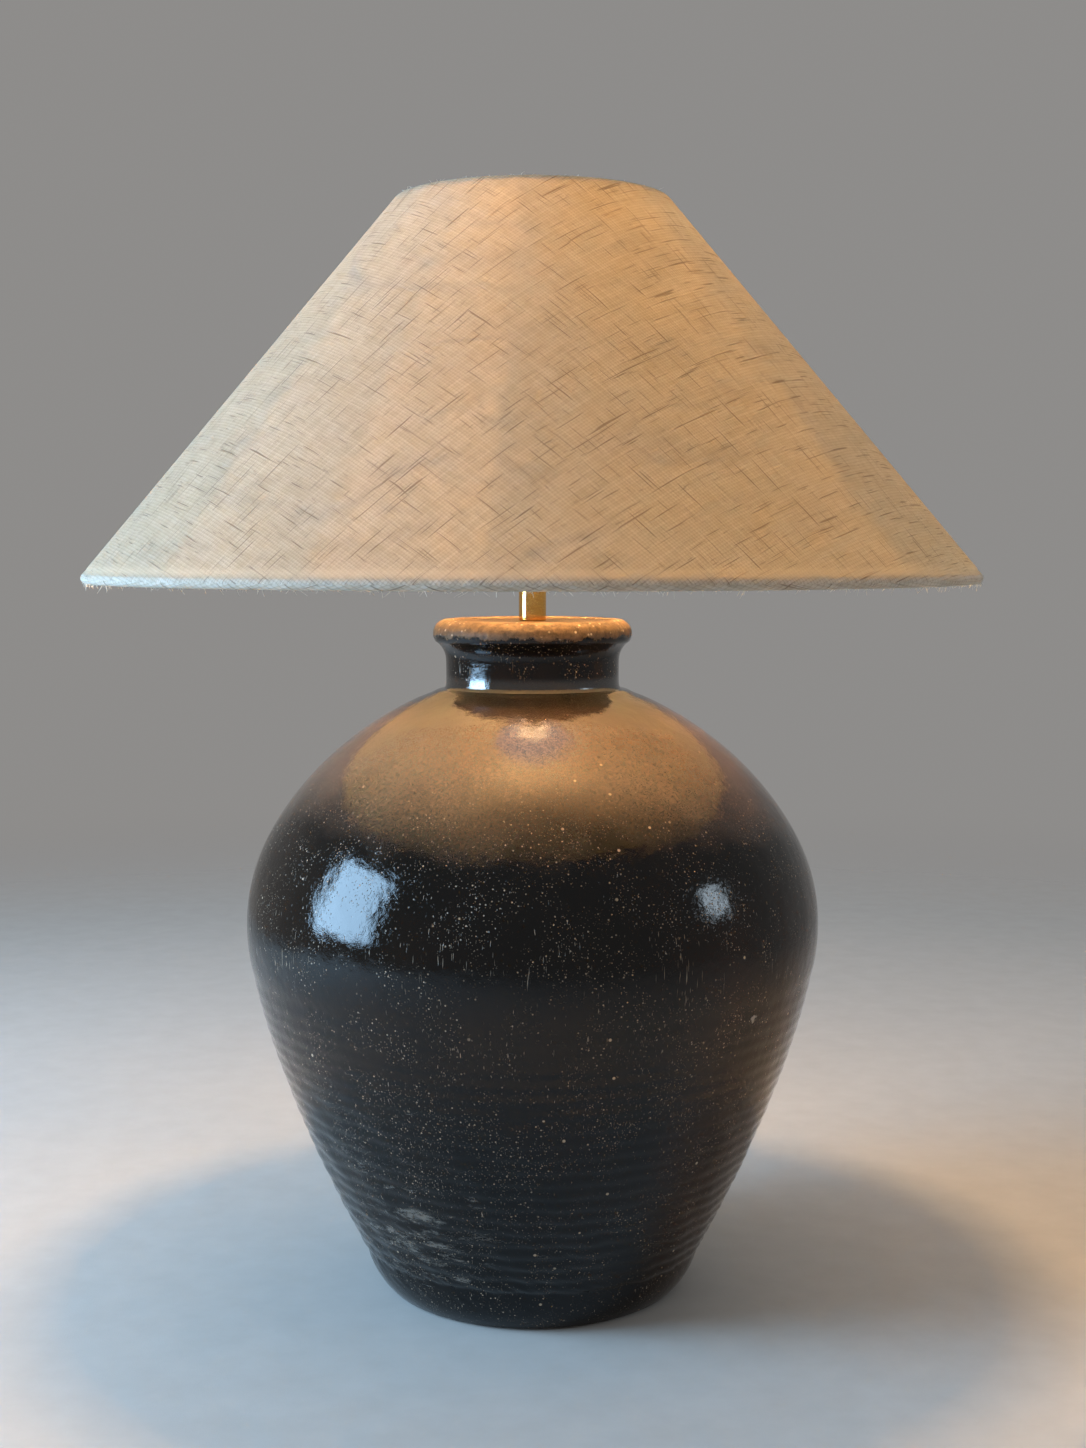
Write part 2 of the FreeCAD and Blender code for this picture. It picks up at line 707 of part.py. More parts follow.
def terminal_z():
    """The height of the two terminals, halfway up the holder's body."""
    return body_z + holder_body_height / 2


def make_holder_body():
    """The moulded body that holds the switch, with a flat and a terminal on each side."""
    body = Part.makeCylinder(body_radius, holder_body_height, point(0, body_z))
    flat = body_radius - terminal_flat_depth
    for side in (-1, 1):
        low_x = flat if side > 0 else -flat - body_radius
        waste = Part.makeBox(body_radius, 2 * body_radius, terminal_flat_height,
                             FreeCAD.Vector(low_x, -body_radius, terminal_z() - terminal_flat_height / 2))
        hole = Part.makeCylinder(terminal_shank_radius + running_gap, terminal_shank_length,
                                 FreeCAD.Vector(side * flat, 0, terminal_z()), OUT * -side)
        body = body.cut(waste).cut(hole)
    return body.cut(Part.makeCylinder(switch_shaft_radius + running_gap, switch_shaft_depth,
                                      FreeCAD.Vector(0, -body_radius, switch_z), BACK))


def make_terminals():
    """The two terminal screws, one on each side of the body."""
    flat = body_radius - terminal_flat_depth
    screws = []
    for side in (-1, 1):
        seat = FreeCAD.Vector(side * flat, 0, terminal_z())
        head = Part.makeCylinder(terminal_head_radius, terminal_head_height, seat, OUT * side)
        shank = Part.makeCylinder(terminal_shank_radius, terminal_shank_length, seat, OUT * -side)
        slot = Part.makeBox(terminal_slot, 2 * terminal_head_radius, terminal_slot)
        low_x = flat + terminal_head_height - terminal_slot if side > 0 else -flat - terminal_head_height
        slot.translate(FreeCAD.Vector(low_x, -terminal_head_radius, terminal_z() - terminal_slot / 2))
        screws.append(head.fuse(shank).cut(slot))
    return Part.makeCompound(screws)


def make_screw_shell():
    """The thin metal cup that the bulb screws into, on top of the body."""
    outer = ring(screw_shell_radius, screw_shell_radius - screw_shell_wall, body_top_z, screw_shell_height)
    floor = Part.makeCylinder(screw_shell_radius, screw_shell_wall, point(0, body_top_z))
    return outer.fuse(floor).removeSplitter()


def make_centre_contact():
    """A sprung tongue that rises under the bulb's tip."""
    low = screw_shell_floor_z
    high = bulb_tip_z - contact_thickness
    half = contact_length / 2
    path = [(-half, low + contact_thickness / 2), (contact_rise_start, low + contact_thickness / 2),
            (contact_rise_end, high + contact_thickness / 2), (half, high + contact_thickness / 2)]
    strip = bent_strip(path, contact_thickness, contact_thickness)
    tongue = strip.extrude(BACK * half)
    tongue.translate(FRONT * (half / 2))
    return tongue


def make_switch_shaft():
    start = FreeCAD.Vector(0, -body_radius + switch_shaft_depth - running_gap, switch_z)
    reach = shell_radius + knob_standoff + knob_length / 2
    return Part.makeCylinder(switch_shaft_radius, reach + start.y, start, FRONT)


def make_switch_knob():
    """A fluted turn knob, domed at its outer end and bored for the shaft."""
    inner_y = shell_radius + knob_standoff
    across, down = knob_dome_middle
    outline = Outline(0, 0).line(knob_radius, 0).line(knob_radius, knob_length - knob_dome)
    outline.arc((across * knob_radius, knob_length - down * knob_dome), (0, knob_length))
    spots = [around(360 * (k + 1 / 2) / knob_flutes, knob_radius, 0) for k in range(knob_flutes)]
    flutes = [Part.makeCylinder(knob_flute_radius, 3 * knob_length, spot - UP * knob_length)
              for spot in spots]
    knob = outline.turned().cut(flutes)
    knob = knob.cut(Part.makeCylinder(switch_shaft_radius, knob_length / 2))
    knob.rotate(ORIGIN, OUT, 90)
    knob.translate(FreeCAD.Vector(0, -inner_y, switch_z))
    return knob


# ---------------------------------------------------------------- bulb
def make_bulb_cap():
    """The metal screw cap, closed below round the insulator."""
    bottom = bulb_tip_z + bulb_tip_height + bulb_insulator_height
    top = bulb_tip_z + bulb_tip_height + bulb_insulator_height + bulb_cap_height
    inner = bulb_cap_radius - bulb_cap_wall
    neck = bulb_tip_radius + 2 * bulb_cap_wall
    outline = Outline(neck, bottom).line(bulb_cap_radius - bulb_cap_taper, bottom)
    outline.line(bulb_cap_radius, bottom + bulb_cap_taper).line(bulb_cap_radius, top)
    outline.line(inner, top).line(inner, bottom + bulb_cap_taper + bulb_cap_wall)
    return outline.line(neck, bottom + bulb_cap_wall).turned()


def make_bulb_tip():
    """The tip contact and the insulator that carries it, as one moulded end."""
    insulator_z = bulb_tip_z + bulb_tip_height
    seat = insulator_z + bulb_insulator_height
    neck = bulb_tip_radius + 2 * bulb_cap_wall
    outline = Outline(0, bulb_tip_z).line(bulb_tip_radius, bulb_tip_z).line(bulb_tip_radius, insulator_z)
    outline.line(neck, insulator_z).line(bulb_cap_radius - bulb_cap_taper, seat).line(neck, seat)
    outline.line(neck, seat + bulb_cap_wall).line(0, seat + bulb_cap_wall)
    return outline.turned()


def bulb_ball_z():
    """The height of the middle of the bulb's ball."""
    return bulb_tip_z + bulb_length - bulb_radius


def make_bulb_glass():
    """The blown glass: a ball that runs down into a neck inside the cap."""
    cap_top = bulb_tip_z + bulb_tip_height + bulb_insulator_height + bulb_cap_height
    bottom = cap_top - bulb_neck_overlap
    rise = bulb_ball_z() - cap_top
    sweep = (bulb_neck_radius**2 + rise**2 - bulb_radius**2) / (2 * (bulb_radius - bulb_neck_radius))
    away = atan2(rise, bulb_neck_radius + sweep)
    inner = bulb_radius - bulb_glass
    join = (bulb_radius * cos(away), bulb_ball_z() - bulb_radius * sin(away))
    inner_join = (inner * cos(away), bulb_ball_z() - inner * sin(away))
    outline = Outline(bulb_neck_radius, bottom).line(bulb_neck_radius, cap_top)
    outline.bend(*join).bend(0, bulb_ball_z() + bulb_radius).line(0, bulb_ball_z() + inner)
    start = FreeCAD.Vector(inner, 0, bulb_ball_z())
    outline.arc((start.x, start.z), inner_join).bend(bulb_neck_radius - bulb_glass, cap_top)
    return outline.line(bulb_neck_radius - bulb_glass, bottom).turned()


def make_bulb_stem():
    """The pressed glass stem, flared at its foot where it is sealed to the neck."""
    cap_top = bulb_tip_z + bulb_tip_height + bulb_insulator_height + bulb_cap_height
    bottom = cap_top - bulb_neck_overlap
    flare = bulb_neck_radius - bulb_glass - running_gap
    top = bottom + bulb_stem_height
    outline = Outline(0, top).line(bulb_stem_radius, top).line(bulb_stem_radius, bottom + bulb_stem_flare)
    return outline.bend(flare, bottom + bulb_glass).line(flare, bottom).line(0, bottom).turned()


def make_filament():
    """The glowing coil as one thick loop, held by its two lead wires in the stem's top."""
    cap_top = bulb_tip_z + bulb_tip_height + bulb_insulator_height + bulb_cap_height
    stem_top = cap_top - bulb_neck_overlap + bulb_stem_height
    loop_z = stem_top + filament_rise
    edges = Outline(filament_lead_spread, stem_top).line(filament_loop_radius, loop_z).edges
    right = wire_solid(edges, filament_radius)
    left = right.mirror(ORIGIN, OUT)
    spots = [around(angle, filament_loop_radius, loop_z) for angle in (0, -90, 180)]
    coil = wire_solid([Part.Arc(*spots).toShape()], 2 * filament_radius)
    corner = FreeCAD.Vector(-filament_loop_radius, -filament_loop_radius, stem_top - filament_rise)
    below = Part.makeBox(2 * filament_loop_radius, 2 * filament_loop_radius, filament_rise, corner)
    return right.fuse([left, coil]).cut(below)


# ---------------------------------------------------------------- shade


def shade_line():
    """The two hem wires' middles, and the unit vectors up the cone and out of it, all as (r, z)."""
    low = (shade_bottom_radius - hem_radius, shade_bottom_z + hem_radius)
    high = (shade_top_radius - hem_radius, shade_top_z - hem_radius)
    length = hypot(high[0] - low[0], high[1] - low[1])
    up = ((high[0] - low[0]) / length, (high[1] - low[1]) / length)
    out = (up[1], -up[0])
    return low, high, up, out


def shade_point(u, w):
    """The point u up the cone from the lower wire's middle and w outwards from the line of the wires."""
    low, _, up, out = shade_line()
    return low[0] + u * up[0] + w * out[0], low[1] + u * up[1] + w * out[1]


def shade_length():
    low, high = shade_line()[:2]
    return hypot(high[0] - low[0], high[1] - low[1])


def make_shade_cover():
    """The linen cone, turned in round both wires, with its glued overlap up the back."""
    length = shade_length()
    turn = radians(shade_hem_turn)

    def low_hem(radius, share):
        angle = radians(90) + turn * share
        return shade_point(radius * cos(angle), radius * sin(angle))

    def high_hem(radius, share):
        angle = radians(90) - turn * share
        return shade_point(length + radius * cos(angle), radius * sin(angle))

    shares = [k / shade_hem_folds for k in range(shade_hem_folds + 1)]
    corners = [high_hem(hem_radius, share) for share in shares]
    corners += [high_hem(hem_inner_radius, share) for share in shares[::-1]]
    corners += [low_hem(hem_inner_radius, share) for share in shares]
    corners += [low_hem(hem_radius, share) for share in shares[:0:-1]]
    outline = Outline(*low_hem(hem_radius, 0))
    for corner in corners:
        outline.line(*corner)
    cover = outline.turned()
    inside = hem_radius - shade_linen / 2
    band = Outline(*shade_point(0, inside)).line(*shade_point(0, hem_radius + seam_thickness))
    band.line(*shade_point(length, hem_radius + seam_thickness)).line(*shade_point(length, inside))
    strip = Part.makeBox(seam_width, 2 * shade_bottom_radius, 2 * shade_height,
                         FreeCAD.Vector(-seam_width / 2, 0, shade_bottom_z - shade_height / 2))
    cover = cover.fuse(band.turned().common(strip))
    for arm in make_spider_arms(spider_wire_radius + loose_gap):
        cover = cover.cut(arm)
    return cover


def make_shade_liner():
    """The stiff translucent sheet that the linen is laminated to."""
    length = shade_length()
    outer = hem_inner_radius
    inner = outer - shade_liner
    start, end = shade_liner_start, length - shade_liner_start
    outline = Outline(*shade_point(start, inner)).line(*shade_point(start, outer))
    return outline.line(*shade_point(end, outer)).line(*shade_point(end, inner)).turned()


def make_bottom_ring():
    r, z = shade_point(0, 0)
    return Part.makeTorus(r, shade_wire_radius, point(0, z))


def make_spider_arms(radius):
    """The spider's arms, each flat from the hub and bent up to the top ring."""
    ring_r, ring_z = shade_point(shade_length(), 0)
    arm_z = hub_z + spider_hub_thickness / 2
    rise = ring_z - arm_z
    bend = min(spider_knee, 0.9 * rise)
    climb = radians(45)
    reach = bend * (sin(climb / 2) / cos(climb / 2))
    knee_r = ring_r - rise * cos(climb) / sin(climb)
    bend_end = (knee_r + reach * cos(climb), arm_z + reach * sin(climb))
    bend_mid = (knee_r - reach + bend * sin(climb / 2), arm_z + bend * (1 - cos(climb / 2)))
    outline = Outline(spider_hub_radius / 2, arm_z).line(knee_r - reach, arm_z).arc(bend_mid, bend_end)
    arm = wire_solid(outline.line(ring_r, ring_z).edges, radius)
    arms = []
    for k in range(spider_arms):
        turned = arm.copy()
        turned.rotate(ORIGIN, UP, 90 + 360 * k / spider_arms)
        arms.append(turned)
    return arms


def make_spider():
    """The top ring, the arms and the hub, welded into one piece."""
    ring_r, ring_z = shade_point(shade_length(), 0)
    top_ring = Part.makeTorus(ring_r, shade_wire_radius, point(0, ring_z))
    hub = Part.makeCylinder(spider_hub_radius, spider_hub_thickness, point(0, hub_z))
    welded = top_ring.fuse([hub] + make_spider_arms(spider_wire_radius))
    bore = Part.makeCylinder(stud_thread_radius + spider_hub_play, 4 * spider_wire_radius,
                             point(0, hub_z - spider_wire_radius))
    trim = 2 * spider_wire_radius
    flat = Part.makeCylinder(spider_hub_radius, trim, point(0, hub_z - trim))
    cap = Part.makeCylinder(spider_hub_radius, trim, point(0, hub_top_z))
    return welded.cut([bore, flat, cap])


# ---------------------------------------------------------------- all pieces
PIECES = {
    "jar": make_jar,
    "felt_ring": make_felt_ring,
    "cord_grommet": make_cord_grommet,
    "threaded_rod": make_rod,
    "rod_end_bush": make_rod_bush,
    "rubber_washer": make_rubber_washer,
    "steel_washer": make_steel_washer,
    "lock_washer": make_lock_washer,
    "hex_nut": make_nut,
    "mouth_gasket": make_gasket,
    "mouth_cap": make_mouth_cap,
    "neck_tube": make_neck_tube,
    "seat_ring": make_seat_ring,
    "harp_saddle": make_saddle,
    "harp": make_harp,
    "harp_sleeve_left": lambda: make_sleeve(-1),
    "harp_sleeve_right": lambda: make_sleeve(1),
    "harp_stud": make_stud,
    "finial": make_finial,
    "holder_cap": make_holder_cap,
    "holder_set_screw": make_set_screw,
    "holder_shell": make_holder_shell,
    "holder_liner": make_holder_liner,
    "holder_body": make_holder_body,
    "terminal_screws": make_terminals,
    "screw_shell": make_screw_shell,
    "centre_contact": make_centre_contact,
    "switch_shaft": make_switch_shaft,
    "switch_knob": make_switch_knob,
    "bulb_cap": make_bulb_cap,
    "bulb_tip": make_bulb_tip,
    "bulb_glass": make_bulb_glass,
    "bulb_stem": make_bulb_stem,
    "bulb_filament": make_filament,
    "shade_cover": make_shade_cover,
    "shade_liner": make_shade_liner,
    "shade_bottom_ring": make_bottom_ring,
    "shade_spider": make_spider,
}

os.makedirs("parts", exist_ok=True)
for name, make in PIECES.items():
    save(name, make())
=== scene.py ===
import json
import math
import random

import bpy
import numpy as np
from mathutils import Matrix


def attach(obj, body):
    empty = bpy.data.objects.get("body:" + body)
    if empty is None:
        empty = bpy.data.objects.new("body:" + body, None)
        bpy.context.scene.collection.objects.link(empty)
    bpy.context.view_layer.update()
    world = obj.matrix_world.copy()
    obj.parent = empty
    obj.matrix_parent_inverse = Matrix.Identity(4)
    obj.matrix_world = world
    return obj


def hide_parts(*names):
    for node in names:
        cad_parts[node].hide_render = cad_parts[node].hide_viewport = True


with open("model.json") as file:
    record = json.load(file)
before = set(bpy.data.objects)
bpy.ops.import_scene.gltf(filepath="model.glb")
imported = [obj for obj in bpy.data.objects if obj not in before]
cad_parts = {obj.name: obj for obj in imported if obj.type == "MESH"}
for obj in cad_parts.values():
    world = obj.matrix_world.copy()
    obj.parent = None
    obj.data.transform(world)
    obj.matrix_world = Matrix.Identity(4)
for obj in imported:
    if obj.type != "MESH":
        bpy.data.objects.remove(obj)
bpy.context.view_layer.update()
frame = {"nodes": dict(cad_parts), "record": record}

nodes = frame["nodes"]
# each node's material slot, as the frame's record names it
slots = {row["node"]: row["material_slot"] for rows in frame["record"].values() if isinstance(rows, list)
         for row in rows if isinstance(row, dict) and "material_slot" in row and "node" in row}


# ---------------------------------------------------------------- meshes
def make_piece(name, verts, faces, sharp=30.0):
    """A mesh object with smooth shading, creased where its faces turn by more than sharp degrees."""
    mesh = bpy.data.meshes.new(name)
    mesh.from_pydata([tuple(v) for v in verts], [], faces)
    mesh.polygons.foreach_set("use_smooth", [True] * len(mesh.polygons))
    mesh.set_sharp_from_angle(angle=math.radians(sharp))
    mesh.validate()
    piece = bpy.data.objects.new(name, mesh)
    bpy.context.scene.collection.objects.link(piece)
    return piece


def seam_links(mesh):
    """For each (x, z) in micrometres where a mesh crosses y = 0 at x > 0, the points an edge joins it to."""
    co = np.zeros(len(mesh.vertices) * 3)
    mesh.vertices.foreach_get("co", co)
    points = [tuple(p) for p in np.round(co.reshape(-1, 3) * 1e6).astype(int)]
    on_seam = [abs(y) <= 2 and x > 10 for x, y, z in points]
    links = {}
    for edge in mesh.edges:
        a, b = edge.vertices
        if on_seam[a] and on_seam[b] and points[a] != points[b]:
            p, q = (points[a][0], points[a][2]), (points[b][0], points[b][2])
            links.setdefault(p, set()).add(q)
            links.setdefault(q, set()).add(p)
    return links


def next_along(chain, choices):
    """The choice that is straightest ahead of a chain, or the nearest one at a chain's start."""
    here = chain[-1]
    if len(chain) == 1:
        return min(choices, key=lambda q: math.hypot(q[0] - here[0], q[1] - here[1]))
    run = (here[0] - chain[-2][0], here[1] - chain[-2][1])
    return min(choices, key=lambda q: -(run[0] * (q[0] - here[0]) + run[1] * (q[1] - here[1]))
               / math.hypot(q[0] - here[0], q[1] - here[1]))


def seam_outline(node):
    """The closed outline of a turned CAD node as (r, z), read where its mesh crosses y = 0 at x > 0."""
    links = seam_links(nodes[node].data)
    chains, left = [], dict(links)
    while left:
        start = next((p for p in left if len(links[p]) == 1), None) or next(iter(left))
        chain, seen = [start], {start}
        while choices := [q for q in links[chain[-1]] if q not in seen and q in left]:
            chain.append(next_along(chain, choices))
            seen.add(chain[-1])
        for p in chain:
            left.pop(p, None)
        if len(chain) > 1:
            chains.append(chain)
    # the longest chain first, then whichever starts or ends nearest to the end of what there is
    line = chains.pop(max(range(len(chains)), key=lambda i: len(chains[i])))
    while chains:
        gaps = [(math.dist(line[-1], c[end]), i, end) for i, c in enumerate(chains) for end in (0, -1)]
        _, i, end = min(gaps)
        chain = chains.pop(i)
        line += chain if end == 0 else chain[::-1]
    return np.array(line, float) * 1e-6


def natural_curve(points, at):
    """Points on a natural cubic curve through points, at the given shares of its length."""
    points = np.asarray(points, float)
    if len(points) < 3:
        return points[0] + np.outer(at, points[-1] - points[0])
    s = np.concatenate([[0], np.cumsum(np.linalg.norm(np.diff(points, axis=0), axis=1))])
    h = np.diff(s)
    n = len(points)
    a = np.eye(n)
    b = np.zeros((n, 2))
    for i in range(1, n - 1):
        a[i, i - 1:i + 2] = h[i - 1], 2 * (h[i - 1] + h[i]), h[i]
        b[i] = 6 * ((points[i + 1] - points[i]) / h[i] - (points[i] - points[i - 1]) / h[i - 1])
    bend = np.linalg.solve(a, b)
    x = np.asarray(at) * s[-1]
    i = np.clip(np.searchsorted(s, x, side="right") - 1, 0, n - 2)
    u, v, w = (x - s[i])[:, None], (s[i + 1] - x)[:, None], h[i][:, None]
    return ((bend[i] * v ** 3 + bend[i + 1] * u ** 3) / (6 * w)
            + (points[i] / w - bend[i] * w / 6) * v + (points[i + 1] / w - bend[i + 1] * w / 6) * u)


def split_at_corners(line, turn=22.0, straight=math.inf):
    """The runs of a closed line between its corners, and between the ends of parts longer than straight."""
    same_point = 2e-6
    line = np.asarray(line)
    if np.linalg.norm(line[0] - line[-1]) < same_point:
        line = line[:-1]
    step = np.roll(line, -1, axis=0) - line
    size = np.linalg.norm(step, axis=1)
    step /= np.maximum(size, 1e-12)[:, None]
    before = np.roll(step, 1, axis=0)
    angle = np.degrees(np.arccos(np.clip((step * before).sum(1), -1, 1)))
    corners = [i for i in range(len(line)) if angle[i] > turn or max(size[i], size[i - 1]) > straight]
    if not corners:
        return [np.vstack([line, line[:1]])]
    runs = []
    for k, start in enumerate(corners):
        end = corners[(k + 1) % len(corners)]
        ids = [(start + j) % len(line) for j in range(((end - start) % len(line) or len(line)) + 1)]
        runs.append(line[ids])
    return runs


def refine(line, pitch, edge=0.0, turn=22.0, straight=math.inf, straight_pitch=None):
    """A closed outline with points about pitch apart, its smooth runs curved, its corners rounded by edge."""
    points = []
    for run in split_at_corners(line, turn, straight):
        length = np.linalg.norm(np.diff(run, axis=0), axis=1).sum()
        trim = min(edge / length, 0.3)
        spacing = straight_pitch if straight_pitch and len(run) == 2 else pitch
        count = max(2, int(round(length / spacing)) + 1)
        points += list(natural_curve(run, np.linspace(trim, 1 - trim, count)))
    if edge == 0:
        points = [p for p, q in zip(points, points[-1:] + points[:-1]) if np.linalg.norm(p - q) > 1e-7]
    return np.array(points)


def lathe(name, line, segments, move=None, uv=None, sharp=30.0):
    """Turns a closed outline of (r, z) about Z.

    move(r, z, angle) gives the moved radius and height. uv(corners) places each face's corners, given as
    (row, segment), in the layer cloth.
    """
    line = np.asarray(line)
    angles = np.arange(segments) * 2 * math.pi / segments
    r = np.repeat(line[:, 0][:, None], segments, axis=1)
    z = np.repeat(line[:, 1][:, None], segments, axis=1)
    a = np.repeat(angles[None, :], len(line), axis=0)
    if move:
        r, z = move(r, z, a)
    verts = np.stack([r * np.cos(a), r * np.sin(a), z], axis=2).reshape(-1, 3)
    rows = len(line)
    faces, corners = [], []
    for i in range(rows):
        k = (i + 1) % rows
        for j in range(segments):
            m = (j + 1) % segments
            faces.append((i * segments + j, i * segments + m, k * segments + m, k * segments + j))
            corners += [(i, j), (i, j + 1), (i + 1, j + 1), (i + 1, j)]
    area = np.cross(np.roll(line, -1, axis=0), line).sum()
    if area < 0:
        faces = [f[::-1] for f in faces]
        corners = [c for k in range(0, len(corners), 4) for c in corners[k:k + 4][::-1]]
    piece = make_piece(name, verts, faces, sharp=sharp)
    if uv is not None:
        layer = piece.data.uv_layers.new(name="cloth")
        layer.data.foreach_set("uv", uv(np.array(corners)).astype(np.float32).ravel())
    return piece


def rise(value, low, high):
    """0 at low, 1 at high, in proportion between them and held beyond. low may be above high."""
    return np.clip((value - low) / (high - low), 0, 1)


def waves(rng, count, low, high):
    """A smooth random function of the angle round the axis, about -1 to 1, of low to high waves in a turn."""
    gain, drift = 1.6, 0.37  # drift: how differently the waves move as shift grows
    parts = [(rng.randint(low, high), rng.uniform(0, 2 * math.pi), rng.uniform(0.5, 1)) for _ in range(count)]
    total = sum(p[2] for p in parts)

    def value(angle, shift=0.0):
        return sum(w * np.sin(n * angle + phase + shift * (1 + drift * k))
                   for k, (n, phase, w) in enumerate(parts)) / total * gain
    return value


# ---------------------------------------------------------------- materials
class Finish:
    """A node material, written in short steps. Places are in the piece's own metres unless one is given."""

    def __init__(self, name):
        self.material = bpy.data.materials.new(name)
        self.material.use_nodes = True
        self.tree = self.material.node_tree
        self.tree.nodes.clear()
        self.end = self.tree.nodes.new("ShaderNodeOutputMaterial")
        self.place = self.node("TexCoord").outputs["Object"]

    def node(self, kind, inputs=None, **settings):
        made = self.tree.nodes.new("ShaderNode" + kind)
        for key, value in settings.items():
            setattr(made, key, value)
        for key, value in (inputs or {}).items():
            if isinstance(value, bpy.types.NodeSocket):
                self.tree.links.new(value, made.inputs[key])
            else:
                made.inputs[key].default_value = value
        return made

    def maths(self, kind, a, b=0.0):
        return self.node("Math", {0: a, 1: b}, operation=kind).outputs[0]

    def times(self, a, b):
        return self.maths("MULTIPLY", a, b)

    def plus(self, a, b):
        return self.maths("ADD", a, b)

    def less(self, a, b):
        return self.maths("SUBTRACT", a, b)

    def most(self, a, b):
        return self.maths("MAXIMUM", a, b)

    def axes(self, place):
        return self.node("SeparateXYZ", {0: place}).outputs

    def vector(self, *parts):
        return self.node("CombineXYZ", dict(enumerate(parts))).outputs[0]

    def stretched(self, scale, turn=(0, 0, 0)):
        return self.node("Mapping", {"Vector": self.place, "Scale": scale, "Rotation": turn}).outputs[0]

    def noise(self, scale, place=None, detail=3.0, rough=0.5, bend=0.0):
        return self.node("TexNoise", {"Vector": place or self.place, "Scale": scale, "Detail": detail,
                                      "Roughness": rough, "Distortion": bend}).outputs[0]

    def band(self, value, low, high, to_low=0.0, to_high=1.0):
        """value from low to high, carried over to to_low up to to_high and held there."""
        return self.node("MapRange", {"Value": value, "From Min": low, "From Max": high,
                                      "To Min": to_low, "To Max": to_high}).outputs[0]

    def dots(self, scale, outside, inside):
        """1 within round dots and 0 between them, scattered at scale."""
        cells = self.node("TexVoronoi", {"Vector": self.place, "Scale": scale})
        return self.band(cells.outputs["Distance"], outside, inside)

    def far(self, spot):
        """The distance from a spot."""
        return self.node("VectorMath", {0: self.place, 1: spot}, operation="DISTANCE").outputs["Value"]

    def mix(self, share, a, b):
        made = self.node("Mix", data_type="RGBA")
        for key, value in ((0, share), (6, a), (7, b)):
            if isinstance(value, bpy.types.NodeSocket):
                self.tree.links.new(value, made.inputs[key])
            else:
                made.inputs[key].default_value = value if key == 0 else (*value, 1)
        return made.outputs[2]

    def bump(self, height, distance):
        return self.node("Bump", {"Height": height, "Distance": distance, "Strength": 1.0}).outputs[0]

    def principled(self, **inputs):
        named = {key.replace("_", " "): value for key, value in inputs.items()}
        for key in ("Base Color", "Emission Color"):
            if isinstance(named.get(key), tuple):
                named[key] = (*named[key], 1)
        return self.node("BsdfPrincipled", named).outputs[0]

    def both(self, share, a, b):
        """Two shaders, the second one with the given share."""
        return self.node("MixShader", {0: share, 1: a, 2: b}).outputs[0]

    def done(self, shader):
        self.tree.links.new(shader, self.end.inputs["Surface"])
        return self.material


def paint(piece, material):
    piece.data.materials.clear()
    piece.data.materials.append(material)


